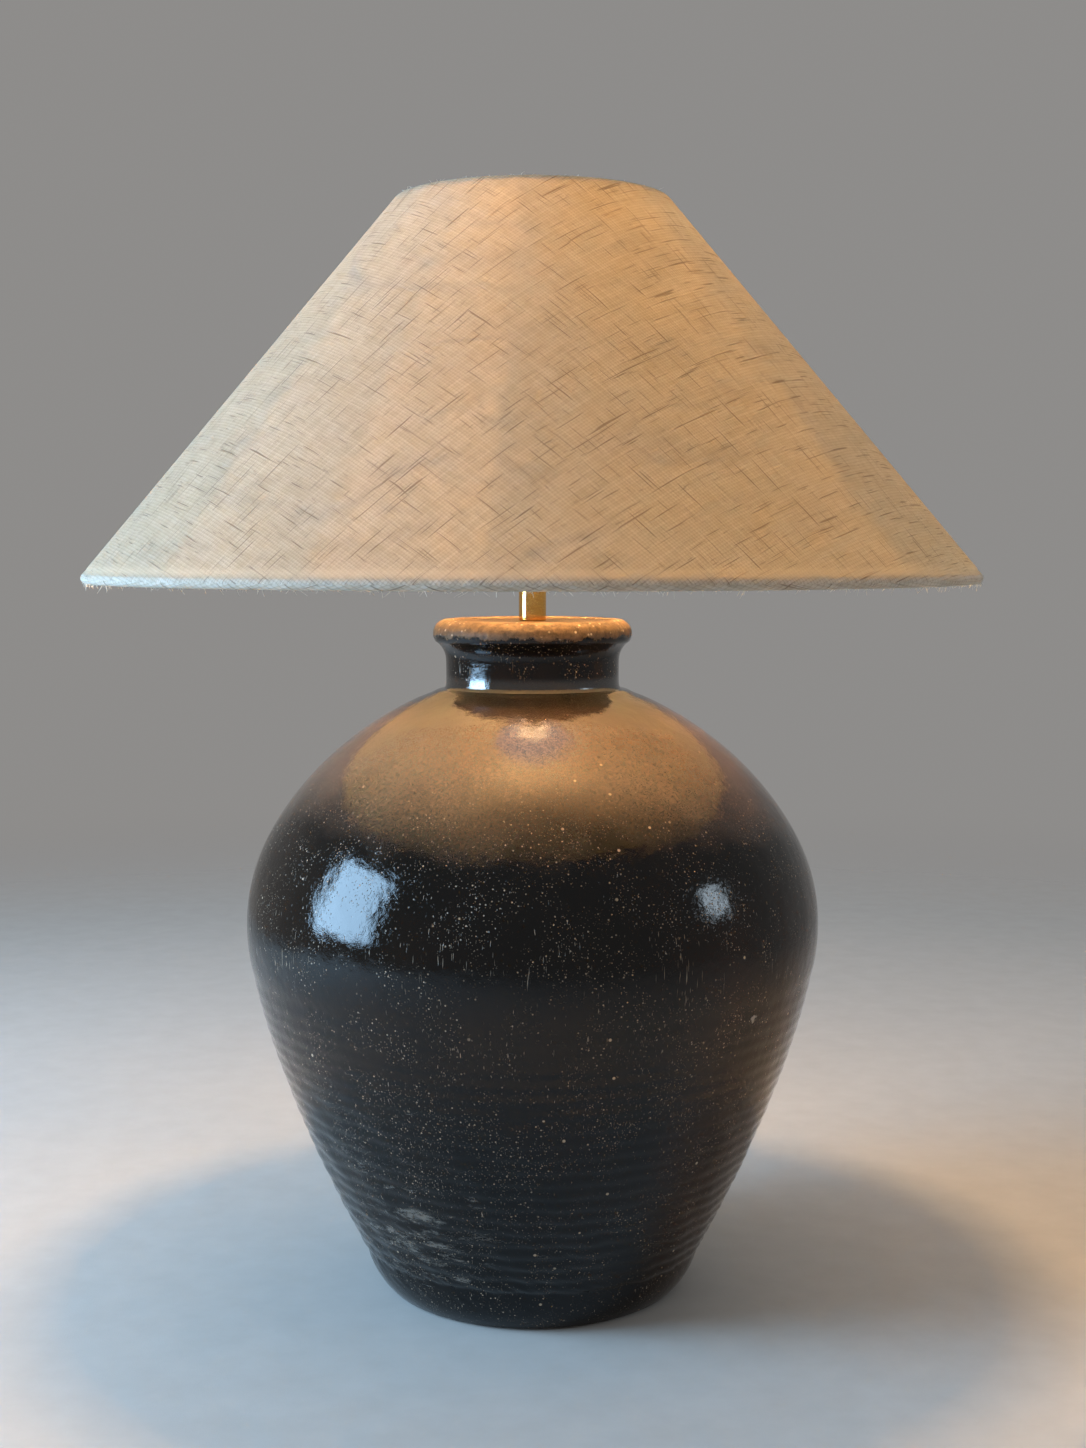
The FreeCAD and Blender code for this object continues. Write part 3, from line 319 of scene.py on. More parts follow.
def glaze():
    """Thick black-brown glaze with fine pits, scratches, a worn patch and a bare, tan rim."""
    f = Finish("glaze")
    x, y, z = f.axes(f.place)
    cloud = f.noise(9, detail=5, rough=0.6)
    body = f.mix(f.band(cloud, 0.42, 0.72), (0.0026, 0.0022, 0.0021), (0.010, 0.0055, 0.0035))
    amber = f.times(f.band(x, 0.07, 0.18), f.band(z, 0.31, 0.17))
    body = f.mix(f.times(amber, f.band(cloud, 0.32, 0.55)), body, (0.065, 0.022, 0.007))
    # painted reflection: the shoulder, between its uneven lower edge and the neck, is coloured brown with
    # crease lines for the lit inside of the shade seen in the glaze; the same zone gets a higher IOR at the
    # end
    shoulder_low, shoulder_full, neck = 0.325, 0.372, 0.427
    ragged = f.band(f.noise(14, detail=3), 0.3, 0.7, -0.012, 0.012)
    shoulder = f.band(f.plus(z, ragged), shoulder_low, shoulder_full)
    shoulder = f.times(shoulder, f.band(z, neck + 0.004, neck))
    creases = f.maths("ABSOLUTE", f.less(f.noise(330, detail=2, rough=0.55, bend=1.4), 0.5))
    brown = f.mix(f.band(creases, 0.0, 0.10), (0.050, 0.029, 0.018), (0.140, 0.084, 0.054))
    brown = f.mix(f.band(cloud, 0.35, 0.65, 0.0, 0.45), brown, (0.060, 0.040, 0.027))
    # the painted reflection is mixed into the body colour, fading out towards the neck
    body = f.mix(f.times(shoulder, f.band(z, 0.418, 0.396, 0.12, 1.0)), body, brown)
    # fine tan specks, denser in some places and sparse on the shoulder
    some = f.noise(38, detail=3)
    small = f.times(f.dots(520, 0.24, 0.12), f.band(some, 0.44, 0.60))
    specks = f.times(f.dots(240, 0.16, 0.09), f.band(some, 0.40, 0.55))
    bigs = f.times(f.dots(70, 0.085, 0.055), f.band(f.noise(17, detail=1), 0.52, 0.58))
    specks = f.most(specks, f.times(small, 0.5))
    sparse = f.band(shoulder, 0.0, 1.0, 1.0, 0.12)
    specks, bigs = f.times(specks, sparse), f.times(bigs, f.band(shoulder, 0.0, 1.0, 1.0, 0.4))
    body = f.mix(f.times(specks, 0.8), body, (0.42, 0.30, 0.20))
    body = f.mix(f.times(bigs, 0.9), body, (0.52, 0.38, 0.25))
    # short scratches in three directions
    scratches = None
    for turn, seed in ((0.5, 0.0), (-0.9, 3.1), (1.4, 7.7)):
        line = f.noise(1.0, f.stretched((900, 900, 60), turn=(turn, turn * 0.6, seed)), detail=1)
        where = f.noise(30, f.stretched((1, 1, 1), turn=(seed, 0.3, turn)), detail=2)
        one = f.times(f.band(line, 0.72, 0.78), f.band(where, 0.50, 0.58))
        scratches = one if scratches is None else f.most(scratches, one)
    scratches = f.times(scratches, sparse)
    body = f.mix(f.times(scratches, 0.7), body, (0.36, 0.27, 0.19))
    # worn, scuffed glaze low on the left of the front, and some chips
    wear = f.noise(30, f.stretched((1, 1, 2.8)), detail=8, rough=0.78)
    around_spot = f.band(f.far((-0.082, -0.115, 0.070)), 0.02, 0.12, 0.05, -0.09)
    worn = f.band(f.plus(wear, around_spot), 0.58, 0.70)
    body = f.mix(f.times(worn, 0.8), body, (0.22, 0.185, 0.15))
    chips = None
    for place, size in (((-0.060, -0.114, 0.030), 0.0055), ((-0.013, -0.192, 0.176), 0.0035),
                        ((-0.098, -0.168, 0.205), 0.003), ((0.142, -0.131, 0.218), 0.003)):
        far = f.plus(f.far(place), f.band(f.noise(420, detail=2), 0.3, 0.7, -0.0016, 0.0016))
        one = f.band(far, size, size * 0.75)
        chips = one if chips is None else f.most(chips, one)
    body = f.mix(chips, body, (0.34, 0.27, 0.20))
    # bare, gritty clay where the glaze has drawn back from the rim
    rim_low, rim_full = 0.4562, 0.4580
    out = f.maths("SQRT", f.plus(f.times(x, x), f.times(y, y)))
    grit = f.noise(220, detail=4, rough=0.65)
    edge = f.plus(z, f.band(f.noise(85, detail=6, rough=0.7), 0.3, 0.7, -0.0034, 0.0034))
    bare = f.times(f.band(edge, rim_low, rim_full), f.band(out, 0.053, 0.056))
    clay = f.mix(f.band(grit, 0.35, 0.7), (0.085, 0.050, 0.026), (0.23, 0.142, 0.078))
    pale_grit = f.times(f.dots(260, 0.30, 0.14), f.band(f.noise(70, detail=2), 0.48, 0.56))
    clay = f.mix(pale_grit, clay, (0.66, 0.54, 0.40))
    colour = f.mix(bare, body, clay)
    # the surface: a soft orange peel, creases, pits and scratches
    height = f.plus(f.times(f.noise(150, detail=1), 0.30), f.times(f.noise(60, detail=2), 1.8))
    height = f.plus(height, f.times(creases, 0.35))
    height = f.plus(height, f.times(f.noise(750, detail=2, rough=0.6, bend=0.6), 0.10))
    height = f.less(height, f.times(f.most(specks, bigs), 0.60))
    height = f.less(height, f.times(f.most(scratches, chips), 0.70))
    height = f.plus(height, f.times(bare, f.times(grit, 3.0)))
    height = f.plus(height, f.times(worn, -1.0))
    rough = f.plus(f.band(cloud, 0.3, 0.8, 0.03, 0.07), f.times(worn, 0.40))
    rough = f.plus(rough, f.times(f.most(bare, chips), 0.45))
    rough = f.plus(rough, f.times(f.most(specks, scratches), 0.25))
    return f.done(f.principled(Base_Color=colour, Roughness=rough, Normal=f.bump(height, 0.00028),
                               IOR=f.band(shoulder, 0.0, 1.0, 1.42, 1.95)))


def threads_along(f, u, v, pitch, seed):
    """One set of the cloth's threads, which run along u and lie pitch apart along v.

    Gives their bulge, their own evenness, their number, and where they are thick (slubs, which the linen draws
    as grooves with painted shade) or thin.
    """
    def pattern(long, wide, shift, detail=1.0):
        return f.noise(1.0, f.vector(f.times(u, long), f.times(v, wide), seed + shift), detail=detail)

    sway = f.band(pattern(20.0, 55.0, 0.0, 2.0), 0.25, 0.75, -0.0008, 0.0008)
    v = f.plus(v, sway)
    row = f.times(v, 1 / pitch)
    number = f.maths("FLOOR", row)
    own = f.noise(1.0, f.vector(f.times(u, 40.0), f.times(number, 7.31), seed + 1), detail=2)
    bulge = f.maths("ABSOLUTE", f.maths("SINE", f.times(row, math.pi)))
    long_slub = f.band(pattern(26.0, 760.0, 2.0), 0.665, 0.71)
    short_slub = f.band(pattern(80.0, 800.0, 9.0), 0.70, 0.76)
    slub = f.most(long_slub, f.times(short_slub, 0.6))
    thin = f.band(pattern(30.0, 420.0, 4.0), 0.36, 0.28)
    return bulge, own, number, slub, thin


def linen(foot):
    """Coarse undyed linen on the bias, lit from both sides. foot is its lowest z."""
    pitch, bias = 0.0021, math.radians(47)
    f = Finish("linen")
    flat = f.node("UVMap", uv_map="cloth").outputs[0]
    x, y, _ = f.axes(f.node("Mapping", {"Vector": flat, "Rotation": (0, 0, bias)}).outputs[0])
    warp, warp_own, warp_number, warp_slub_shade, warp_thin = threads_along(f, x, y, pitch, 0.0)
    weft, weft_own, weft_number, weft_slub_shade, weft_thin = threads_along(f, y, x, pitch, 5.3)
    # plain weave: warp and weft on top in turn, each bulging over the other
    over = f.maths("ABSOLUTE", f.maths("MODULO", f.plus(warp_number, weft_number), 2.0))
    warp_top, weft_top = (
        f.times(f.times(top, f.band(under, 0.0, 1.0, 0.35, 1.0)), f.band(own, 0.3, 0.7, 0.6, 1.1))
        for top, under, own in ((warp, weft, warp_own), (weft, warp, weft_own)))
    weave = f.plus(f.times(over, warp_top), f.times(f.less(1.0, over), weft_top))
    dark = f.most(warp_slub_shade, weft_slub_shade)
    pale = f.most(warp_thin, weft_thin)
    tone = f.band(f.plus(warp_own, weft_own), 0.7, 1.3)
    colour = f.mix(tone, (0.64, 0.61, 0.56), (0.93, 0.91, 0.88))
    colour = f.mix(f.times(pale, 0.35), colour, (0.90, 0.87, 0.81))
    # painted shade: darker where the weave dips between the threads
    colour = f.mix(f.band(weave, 0.05, 0.42, 0.66, 0.0), colour, (0.33, 0.27, 0.21))
    # painted shade: the slub lines, drawn as grooves in the height, are coloured dark for the shade in them
    colour = f.mix(f.times(dark, 0.62), colour, (0.27, 0.20, 0.14))
    # the turned hem: two layers over the wire, and above it, along the glued edge, a strip coloured paler: a
    # painted highlight where light catches the cloth above the bead
    level = f.less(f.axes(f.place)["Z"], foot)
    turned_in = f.band(level, 0.0066, 0.0056)
    strip = f.times(f.band(level, 0.0066, 0.0078), f.band(level, 0.0128, 0.0108))
    colour = f.mix(f.times(strip, 0.4), colour, (1.0, 0.96, 0.90))
    height = f.less(f.plus(weave, f.times(pale, 0.4)), f.times(dark, 1.3))
    normal = f.bump(height, 0.00026)
    cloth = f.principled(Base_Color=colour, Roughness=0.9, Specular_IOR_Level=0.2, Sheen_Weight=0.2,
                         Sheen_Roughness=0.5, Normal=normal)
    light = f.mix(f.times(dark, 0.55), f.mix(0.8, colour, (1.0, 0.88, 0.60)), (0.35, 0.22, 0.12))
    # painted highlight: the light through the cloth is paler in the same strip
    light = f.mix(f.times(strip, 0.5), light, (1.0, 0.90, 0.66))
    through = f.node("BsdfTranslucent", {"Color": light, "Normal": normal}).outputs[0]
    return f.done(f.both(f.band(turned_in, 0, 1, 0.68, 0.48), cloth, through))


def shade_sheet():
    """The stiff cream sheet inside the linen, which lets most of the light through."""
    f = Finish("shade_sheet")
    colour = f.mix(f.noise(120, detail=3), (0.84, 0.80, 0.73), (0.93, 0.90, 0.84))
    normal = f.bump(f.noise(700, detail=2), 0.0001)
    sheet = f.principled(Base_Color=colour, Roughness=0.55, Normal=normal)
    through = f.node("BsdfTranslucent", {"Color": (0.99, 0.92, 0.77, 1)}).outputs[0]
    return f.done(f.both(0.66, sheet, through))


def brass(name, dark, light, rough, brushed=False):
    """Brass with faint polishing marks and small tarnish spots."""
    f = Finish(name)
    marks = f.noise(1.0, f.stretched((260, 260, 2600) if brushed else (500, 500, 900)), detail=3)
    stain = f.noise(90, detail=4, rough=0.65)
    colour = f.mix(f.band(stain, 0.35, 0.7), dark, light)
    shine = f.plus(f.band(marks, 0.3, 0.7, rough * 0.7, rough * 1.3), f.band(stain, 0.62, 0.8, 0.0, 0.15))
    return f.done(f.principled(Base_Color=colour, Metallic=1.0, Roughness=shine,
                               Normal=f.bump(marks, 0.00003)))


def stained_wood():
    """Dark stained wood with straight grain along X."""
    f = Finish("stained_wood")
    grain = f.noise(1.0, f.stretched((14, 420, 420)), detail=5, rough=0.6, bend=0.4)
    pores = f.noise(1.0, f.stretched((60, 1500, 1500)), detail=2)
    colour = f.mix(f.band(grain, 0.35, 0.65), (0.018, 0.010, 0.006), (0.075, 0.040, 0.021))
    colour = f.mix(f.times(f.band(pores, 0.62, 0.72), 0.7), colour, (0.008, 0.005, 0.003))
    height = f.less(f.times(grain, 0.5), f.band(pores, 0.6, 0.75))
    return f.done(f.principled(Base_Color=colour, Roughness=f.band(grain, 0.3, 0.7, 0.42, 0.58),
                               Normal=f.bump(height, 0.00015)))


def plain(name, dark, light, rough, scale=160, bump=0.00006, metal=0.0, **more):
    """A material with fine mottling and texture: plastic, rubber, plated steel, card."""
    f = Finish(name)
    mottle = f.noise(scale, detail=4, rough=0.6)
    colour = f.mix(f.band(mottle, 0.3, 0.7), dark, light)
    shine = f.band(f.noise(scale * 2.3, detail=2), 0.3, 0.7, rough * 0.8, rough * 1.2)
    normal = f.bump(f.noise(scale * 4, detail=2), bump)
    return f.done(f.principled(Base_Color=colour, Metallic=metal, Roughness=shine, Normal=normal, **more))


def felt():
    """Dark brown felt."""
    f = Finish("felt")
    hair = f.noise(900, detail=6, rough=0.75, bend=1.5)
    colour = f.mix(f.band(hair, 0.35, 0.65), (0.022, 0.016, 0.012), (0.085, 0.064, 0.05))
    return f.done(f.principled(Base_Color=colour, Roughness=0.95, Sheen_Weight=0.5, Sheen_Roughness=0.6,
                               Normal=f.bump(hair, 0.0006)))


def fibre():
    """Single loose linen fibres."""
    f = Finish("fibre")
    colour = f.mix(f.noise(300), (0.66, 0.58, 0.46), (0.86, 0.80, 0.68))
    return f.done(f.principled(Base_Color=colour, Roughness=0.8, Normal=f.bump(f.noise(2000), 0.00002)))


def lit_glass():
    """The frosted bulb, lit from inside."""
    f = Finish("frosted_glass")
    frost = f.noise(1400, detail=2)
    colour = f.mix(f.band(f.noise(40), 0.3, 0.7), (0.93, 0.86, 0.74), (0.97, 0.92, 0.83))
    return f.done(f.principled(Base_Color=colour, Roughness=f.band(frost, 0.3, 0.7, 0.28, 0.4),
                               Emission_Color=(1.0, 0.66, 0.38), Emission_Strength=6.0,
                               Normal=f.bump(frost, 0.00003)))


# ---------------------------------------------------------------- camera, floor, lights
def set_camera():
    """The photo's camera, as fitted to the ellipses of the shade, the rim and the foot."""
    scene = bpy.context.scene
    scene.view_settings.view_transform = "Standard"
    camera = bpy.data.cameras.new("camera")
    camera.sensor_width = 36.0
    camera.lens = 47.909
    camera.clip_start = 0.01
    eye = bpy.data.objects.new("camera", camera)
    scene.collection.objects.link(eye)
    eye.location = (0.0073, -1.340, 0.518)
    eye.rotation_euler = (math.radians(84.75), 0, 0)
    scene.camera = eye


def lay_floor():
    """A plain pale floor that fades into the background."""
    radius, sides = 12.0, 96
    f = Finish("floor")
    speck = f.noise(30, detail=5, rough=0.6)
    colour = f.mix(f.band(speck, 0.3, 0.7), (0.53, 0.50, 0.465), (0.57, 0.54, 0.505))
    surface = f.principled(Base_Color=colour, Roughness=0.8, Specular_IOR_Level=0.15,
                           Normal=f.bump(f.noise(900, detail=2), 0.00008))
    far = f.node("VectorMath", {0: f.place}, operation="LENGTH").outputs["Value"]
    fade = f.node("MapRange", {"Value": far, "From Min": 0.7, "From Max": 2.6},
                  interpolation_type="SMOOTHSTEP")
    floor_material = f.done(f.both(fade.outputs[0], surface, f.node("BsdfTransparent").outputs[0]))
    angles = np.linspace(0, 2 * math.pi, sides + 1)[:-1]
    ring = [(math.cos(t) * radius, math.sin(t) * radius, 0.0) for t in angles]
    floor = make_piece("floor", ring, [tuple(range(sides))])
    paint(floor, floor_material)


def hang_lamp(name, light, place):
    """An object for a light, which the camera doesn't see."""
    lamp = bpy.data.objects.new(name, light)
    bpy.context.scene.collection.objects.link(lamp)
    lamp.location = place
    lamp.visible_camera = False
    return lamp


def hang_lights():
    """A cool window on the left, weaker boxes right and above, a faint surround, and the bulb's own light."""
    for name, place, aim, width, height, power, colour in (
            ("window", (-1.75, -0.45, 0.80), (0.0, 0.0, 0.42), 0.9, 1.05, 62.0, (0.43, 0.70, 1.0)),
            ("window_fill", (-1.9, 0.1, 0.80), (0.0, 0.0, 0.9), 1.2, 1.0, 14.0, (0.36, 0.66, 1.0)),
            ("right_box", (1.9, -0.5, 0.85), (0.0, 0.0, 0.40), 0.32, 0.42, 4.0, (0.70, 0.86, 1.0)),
            ("top_fill", (0.4, 0.7, 2.4), (0.0, 0.0, 0.4), 2.0, 2.0, 12.0, (1.0, 0.97, 0.94))):
        light = bpy.data.lights.new(name, "AREA")
        light.shape = "RECTANGLE"
        light.size, light.size_y = width, height
        light.energy = power
        light.color = colour
        lamp = hang_lamp(name, light, place)
        direction = np.array(aim) - np.array(place)
        lamp.rotation_euler = (math.atan2(math.hypot(direction[0], direction[1]), -direction[2]), 0,
                               math.atan2(direction[1], direction[0]) - math.pi / 2)
        lamp.visible_glossy = name != "window_fill"

    # stands for the light from the bulb's glass, which it goes round
    glow = bpy.data.lights.new("bulb_glow", "POINT")
    glow.energy = 76.0
    glow.color = (1.0, 0.60, 0.25)
    glow.shadow_soft_size = 0.034
    hang_lamp("bulb_glow", glow, (0.0, 0.0, 0.650)).visible_glossy = False

    world = bpy.data.worlds.new("world")
    bpy.context.scene.world = world
    world.use_nodes = True
    back = world.node_tree.nodes["Background"]
    back.inputs[0].default_value = (1.0, 0.975, 0.95, 1)
    back.inputs[1].default_value = 0.27


set_camera()
lay_floor()
hang_lights()


# ---------------------------------------------------------------- the jar
def jar_side():
    """The jar's outer profile: heights, and the radius at each with the edges of its ridges softened."""
    soften, reach = 0.0012, 30
    fine = refine(seam_outline("jar"), 0.0003)
    fine = np.roll(fine, -fine[:, 0].argmax(), axis=0)
    if fine[40, 1] < fine[0, 1]:
        fine = fine[::-1]
    up = int(np.argmax(np.diff(fine[:, 1]) <= 0))
    down = int(np.argmax(np.diff(fine[::-1, 1]) >= 0))
    side = np.vstack([fine[::-1][:down + 1][::-1], fine[:up + 1]])
    height = np.linspace(side[0, 1], side[-1, 1], 3000)
    radius = np.interp(height, side[:, 1], side[:, 0])
    spread = np.exp(-0.5 * (np.arange(-reach, reach + 1) * (height[1] - height[0]) / soften) ** 2)
    soft = np.convolve(np.pad(radius, reach, mode="edge"), spread / spread.sum(), mode="valid")
    ridged = rise(height, 0.034, 0.040) * rise(height, 0.26, 0.23)
    return height, radius + (soft - radius) * ridged


def make_jar():
    """The jar with ridges that sway as a hand makes them, and glaze that has run."""
    segments, thinned = 320, 5
    heights, radii = jar_side()
    rng = random.Random(7)
    sway, ripple = waves(rng, 6, 1, 6), waves(rng, 8, 9, 40)
    swell, drip = waves(rng, 5, 1, 5), waves(rng, 10, 40, 80)

    def radius(z):
        return np.interp(z, heights, radii)

    def move(r, z, a):
        """Ridges wander up and down, glaze runs low on the side, and the whole is a little out of round."""
        outside = (np.abs(r - radius(z)) < 0.0008) & (z > 0.006) & (z < 0.43)
        ridges = rise(z, 0.012, 0.032) * rise(z, 0.215, 0.155)
        wander = ridges * (0.0024 * sway(a, z * 9) + 0.0009 * ripple(a, z * 55))
        runs = 0.00036 * (rise(z, 0.11, 0.03) * ridges) * drip(a, z * 320)
        uneven = 0.0004 * (rise(z, 0.03, 0.09) * rise(z, 0.42, 0.36)) * swell(a, z * 5)
        return np.where(outside, radius(z + wander) + (runs + uneven), r), z

    # rows on smooth unseen faces are thinned out
    rows = refine(seam_outline("jar"), 0.0016)
    before, after = rows - np.roll(rows, 1, axis=0), np.roll(rows, -1, axis=0) - rows
    sizes = np.linalg.norm(before, axis=1) * np.linalg.norm(after, axis=1) + 1e-12
    turned = np.abs(np.cross(before, after)) / sizes
    unseen = (rows[:, 0] < radius(rows[:, 1]) - 0.004) & (turned < 0.06)
    rows = rows[~unseen | (np.arange(len(rows)) % thinned == 0)]
    jar = lathe("jar_glazed", rows, segments, move)
    paint(jar, glaze())
    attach(jar, "base")
    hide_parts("jar")


make_jar()


# ---------------------------------------------------------------- the shade
def hem_fibres(rows):
    """Loose fibres along the hems.

    Each row gives the bead's (r, z) and radius, 1 for up or -1 for down, the count and the greatest length.
    """
    knots, sides, root, shortest = 6, 4, 0.0002, 0.0012
    rng = random.Random(23)
    up = np.array([0.0, 0.0, 1.0])
    verts, faces = [], []
    for r, z, bead, way, count, longest in rows:
        for _ in range(count):
            around = rng.uniform(0, 2 * math.pi)
            lean = rng.uniform(-0.9, 0.7)
            out = np.array([math.cos(around), math.sin(around), 0.0])
            side = np.array([-math.sin(around), math.cos(around), 0.0])
            away = math.sin(lean) * out + way * math.cos(lean) * up
            start = out * r + up * z + (bead - root) * away
            heading = away + rng.gauss(0, 0.9) * side
            curl = rng.gauss(0, 0.5) * side + rng.gauss(0, 0.3) * out - 0.25 * up
            length = longest * rng.random() ** 2 + shortest
            thick = rng.uniform(0.00014, 0.00028)
            across = np.cross(side, heading)
            across /= np.linalg.norm(across)
            first = len(verts)
            for k in range(knots):
                t = k / (knots - 1)
                spot = start + length * t * (heading + curl * t) / (np.linalg.norm(heading) + 0.3)
                for j in range(sides):
                    turn = 2 * math.pi * j / sides
                    verts.append(spot + thick * (1 - 0.6 * t)
                                 * (math.cos(turn) * side + math.sin(turn) * across))
            for k in range(knots - 1):
                for j in range(sides):
                    a, b = first + sides * k + j, first + sides * k + (j + 1) % sides
                    faces.append((a, b, b + sides, a + sides))
            faces.append(tuple(first + j for j in reversed(range(sides))))
            last = first + sides * (knots - 1)
            faces.append(tuple(last + j for j in range(sides)))
    fibres = make_piece("hem_fibres", verts, faces)
    paint(fibres, fibre())
    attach(fibres, "shade")
    return fibres


def shade_overlap(low, high, out, share, cover):
    """The strip of the overlap, up the back of the cone from (r, z) low to high, laid out in the flat cut."""
    rows, half = 90, 0.006
    # (share of the half width, height over the cone)
    section = [(-1, -0.0003), (-1, 0.0004), (-0.93, 0.0006), (-0.5, 0.0006), (0, 0.0006), (0.5, 0.0006),
               (0.93, 0.0006), (1, 0.0004), (1, -0.0003)]
    verts, faces, flat = [], [], []
    for i in range(rows):
        spot = low + (high - low) * i / (rows - 1)
        for across, height in section:
            x = across * (half + 0.0002 * math.sin(i * 0.9) * math.sin(i * 0.23 + across))
            r, z = spot + out * height
            verts.append((x, math.sqrt(r * r - x * x), z))
            angle = share * (math.pi + x / spot[0])
            flat.append((spot[0] / share * math.sin(angle), -spot[0] / share * math.cos(angle)))
    count = len(section)
    for i in range(rows - 1):
        for k in range(count):
            a, b = i * count + k, i * count + (k + 1) % count
            faces.append((a, a + count, b + count, b))
    faces += [tuple(range(count)), tuple(range(rows * count - 1, (rows - 1) * count - 1, -1))]
    overlap = make_piece("shade_overlap", verts, faces, sharp=50.0)
    layer = overlap.data.uv_layers.new(name="cloth")
    loops = np.zeros(len(overlap.data.loops), np.int64)
    overlap.data.loops.foreach_get("vertex_index", loops)
    layer.data.foreach_set("uv", np.array(flat)[loops].astype(np.float32).ravel())
    paint(overlap, cover)
    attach(overlap, "shade")
    return overlap


def make_shade():
    """The linen cone with its turned hems, its overlap at the back and its loose fibres."""
    segments, bead = 540, 0.0036
    outline = seam_outline("shade_cover")
    line = refine(outline, 0.0009, turn=40.0, straight=0.02, straight_pitch=0.016)
    # up: along the cone's side; out: square to it; share: how much of a full circle the flat cut takes up
    step = np.roll(outline, -1, axis=0) - outline
    up = step[np.linalg.norm(step, axis=1).argmax()]
    up = up / np.linalg.norm(up) * np.sign(up[1])
    out = np.array([up[1], -up[0]])
    share = -up[0]
    face = (line @ out).max()
    side = line[line @ out > face - 0.00002]
    low, high = side[side[:, 1].argmin()], side[side[:, 1].argmax()]
    foot = line[:, 1].min()
    # the outline from its outermost point upwards, with more rows where the cloth is pressed in
    pressed_to, longest, parts = foot + 0.013, 0.004, 24
    rolled = np.roll(line, -line[:, 0].argmax(), axis=0)
    if rolled[5][1] < rolled[0][1]:
        rolled = np.roll(rolled[::-1], 1, axis=0)
    finer = []
    for a, b in zip(rolled, np.roll(rolled, -1, axis=0)):
        near = a @ out > face - 0.0006 and min(a[1], b[1]) < pressed_to and np.linalg.norm(b - a) > longest
        finer += list(a + np.outer(np.arange(parts) / parts, b - a)) if near else [a]
    rolled = np.array(finer)
    apex = rolled[0][0] / share
    steps = np.linalg.norm(np.diff(np.vstack([rolled, rolled[:1]]), axis=0), axis=1)
    along = np.concatenate([[0], np.cumsum(steps)])

    def cloth(corners):
        """Where each face's corner lies in the flat cut, from the cone's point. The cut's ends meet behind."""
        distance = apex - along[corners[:, 0]]
        angle = corners[:, 1] / segments * 2 * math.pi - 1.5 * math.pi
        middle = angle.reshape(-1, 4).mean(axis=1).repeat(4)
        angle = share * np.where(middle < -math.pi, angle + 2 * math.pi, angle)
        return np.stack([distance * np.sin(angle), -distance * np.cos(angle)], axis=1)

    def pressed(r, z, a):
        """The cloth pressed in above the wire, along the glued edge of the hem."""
        depth = 0.00035 * np.exp(-((z - foot - 0.0086) / 0.0011) ** 2)
        return np.where(r * out[0] + z * out[1] > face - 0.0006, r - depth, r), z

    cover = linen(foot)
    shade = lathe("shade_linen", rolled, segments, pressed, uv=cloth)
    paint(shade, cover)
    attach(shade, "shade")
    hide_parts("shade_cover")
    overlap = shade_overlap(low, high, out, share, cover)
    bottom, top = line[line[:, 1].argmin()], line[line[:, 1].argmax()]
    fibres = hem_fibres([(bottom[0], bottom[1] + bead, bead, -1.0, 640, 0.0045),
                         (top[0], top[1] - bead, bead, 1.0, 110, 0.004)])


make_shade()


# ---------------------------------------------------------------- the harp's stud and the felt
def make_stud():
    """The harp's stud with a rolled thread on its post."""
    post, pitch, depth = 0.0031, 0.00094, 0.00042
    outline = refine(seam_outline("harp_stud"), 0.00022)
    base = outline[outline[:, 0] > post + 0.001][:, 1].max()
    tip = outline[:, 1].max()

    def move(r, z, a):
        wave = 0.5 + 0.5 * np.cos(2 * math.pi * (z - base) / pitch - a)
        ends = rise(z, base + 0.001, base + 0.0016) * rise(z, tip - 0.0004, tip - 0.001)
        return r - np.where(np.abs(r - post) < 0.0001, depth * wave * ends, 0.0), z

    stud = lathe("stud_threaded", outline, 48, move, sharp=60.0)
    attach(stud, "stud")
    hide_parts("harp_stud")
    return stud


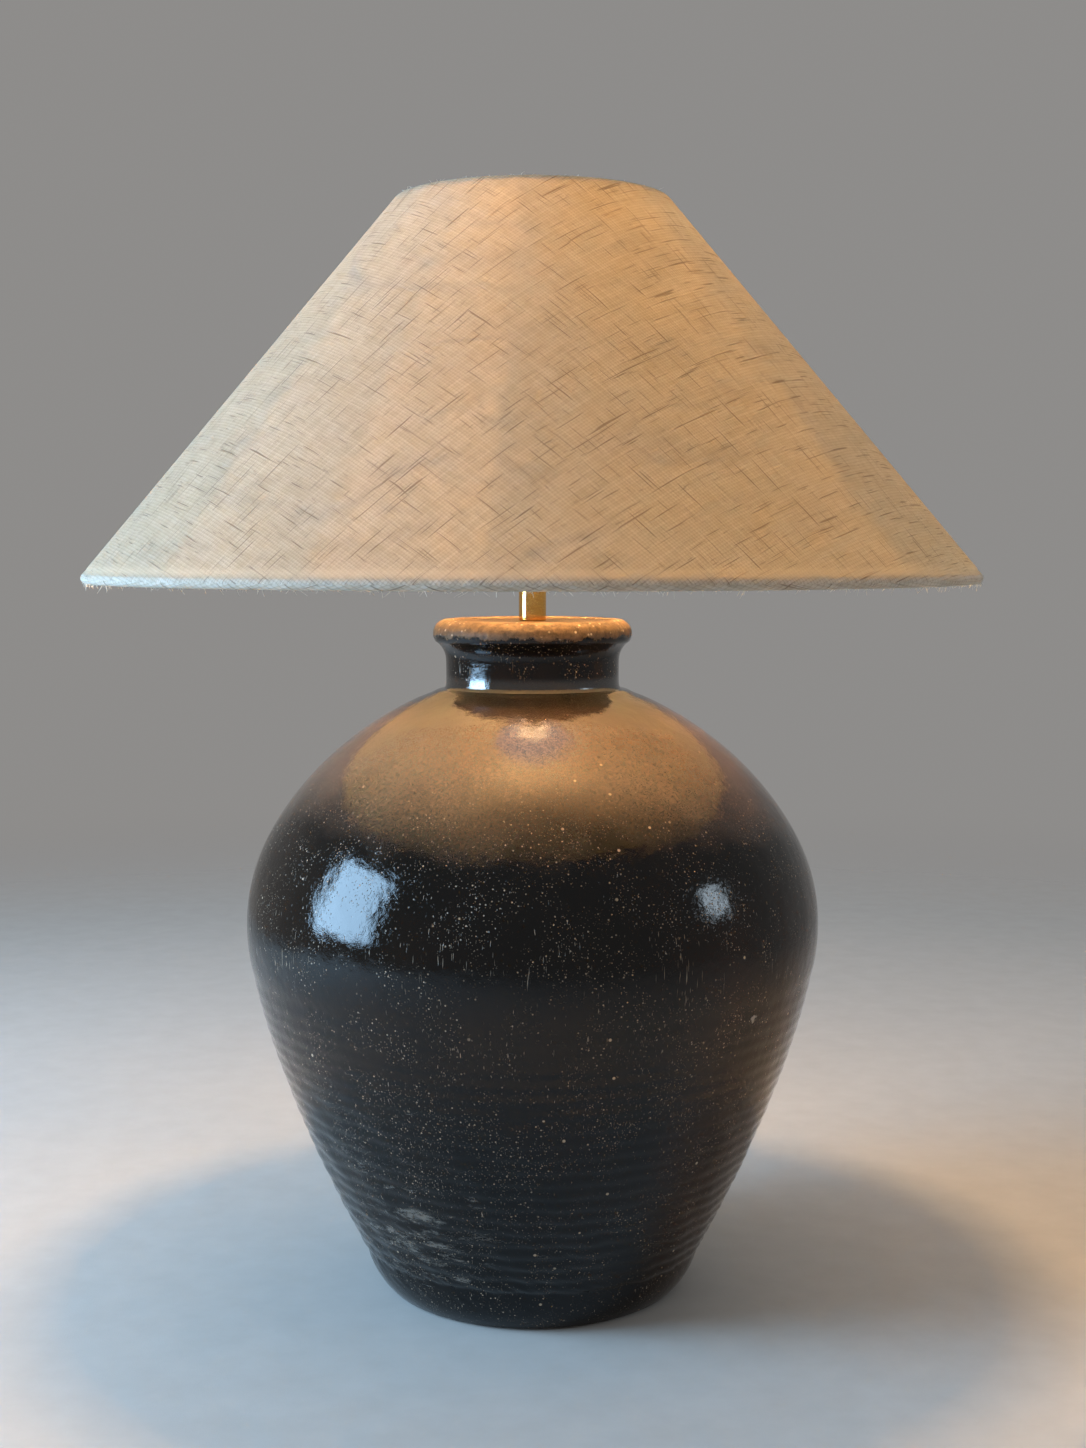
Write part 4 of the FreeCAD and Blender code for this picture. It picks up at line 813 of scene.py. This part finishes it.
def make_felt():
    """The felt ring under the foot, with soft edges."""
    middle, rough = 0.095, 0.0003
    wobble = waves(random.Random(11), 9, 8, 60)

    def move(r, z, a):
        return np.where(r > middle, r - rough * (1 + wobble(a)), r + rough * (1 + wobble(a, 2.0))), z

    felt_piece = lathe("foot_felt", refine(seam_outline("felt_ring"), 0.0006, edge=0.0003), 300, move)
    paint(felt_piece, felt())
    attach(felt_piece, "base")
    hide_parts("felt_ring")


make_felt()

# ---------------------------------------------------------------- finishes of the CAD nodes that stay
finishes = {
    "black_plastic": plain("black_plastic", (0.012, 0.012, 0.012), (0.03, 0.03, 0.03), 0.45),
    "steel": plain("steel", (0.48, 0.47, 0.44), (0.62, 0.61, 0.58), 0.32, scale=300, metal=1.0),
    "rubber": plain("rubber", (0.015, 0.015, 0.015), (0.04, 0.038, 0.036), 0.75, bump=0.0002),
    "stained_wood": stained_wood(),
    "polished_brass": brass("polished_brass", (0.88, 0.45, 0.10), (0.97, 0.58, 0.18), 0.14),
    "holder_brass": brass("holder_brass", (0.62, 0.43, 0.20), (0.74, 0.55, 0.29), 0.28, brushed=True),
    "fibre_card": plain("fibre_card", (0.16, 0.11, 0.07), (0.26, 0.20, 0.13), 0.85, bump=0.0003),
    "black_moulding": plain("black_moulding", (0.008, 0.008, 0.008), (0.02, 0.019, 0.018), 0.22),
    "contact_metal": plain("contact_metal", (0.62, 0.60, 0.56), (0.76, 0.74, 0.70), 0.3, scale=260,
                           metal=1.0),
    "bulb_insulation": plain("bulb_insulation", (0.01, 0.01, 0.014), (0.03, 0.03, 0.036), 0.2),
    "frosted_glass": lit_glass(),
    "clear_glass": plain("clear_glass", (0.9, 0.92, 0.92), (0.95, 0.97, 0.97), 0.08, Transmission_Weight=0.9),
    "glowing_coil": plain("glowing_coil", (0.7, 0.5, 0.3), (0.9, 0.7, 0.4), 0.4, metal=1.0,
                          Emission_Color=(1.0, 0.55, 0.2), Emission_Strength=40.0),
    "shade_sheet": shade_sheet(),
    "shade_wire": brass("shade_wire", (0.55, 0.42, 0.22), (0.66, 0.53, 0.31), 0.3),
}
for name, node in nodes.items():
    if slots.get(name) in finishes:
        paint(node, finishes[slots[name]])
paint(make_stud(), finishes[slots["harp_stud"]])
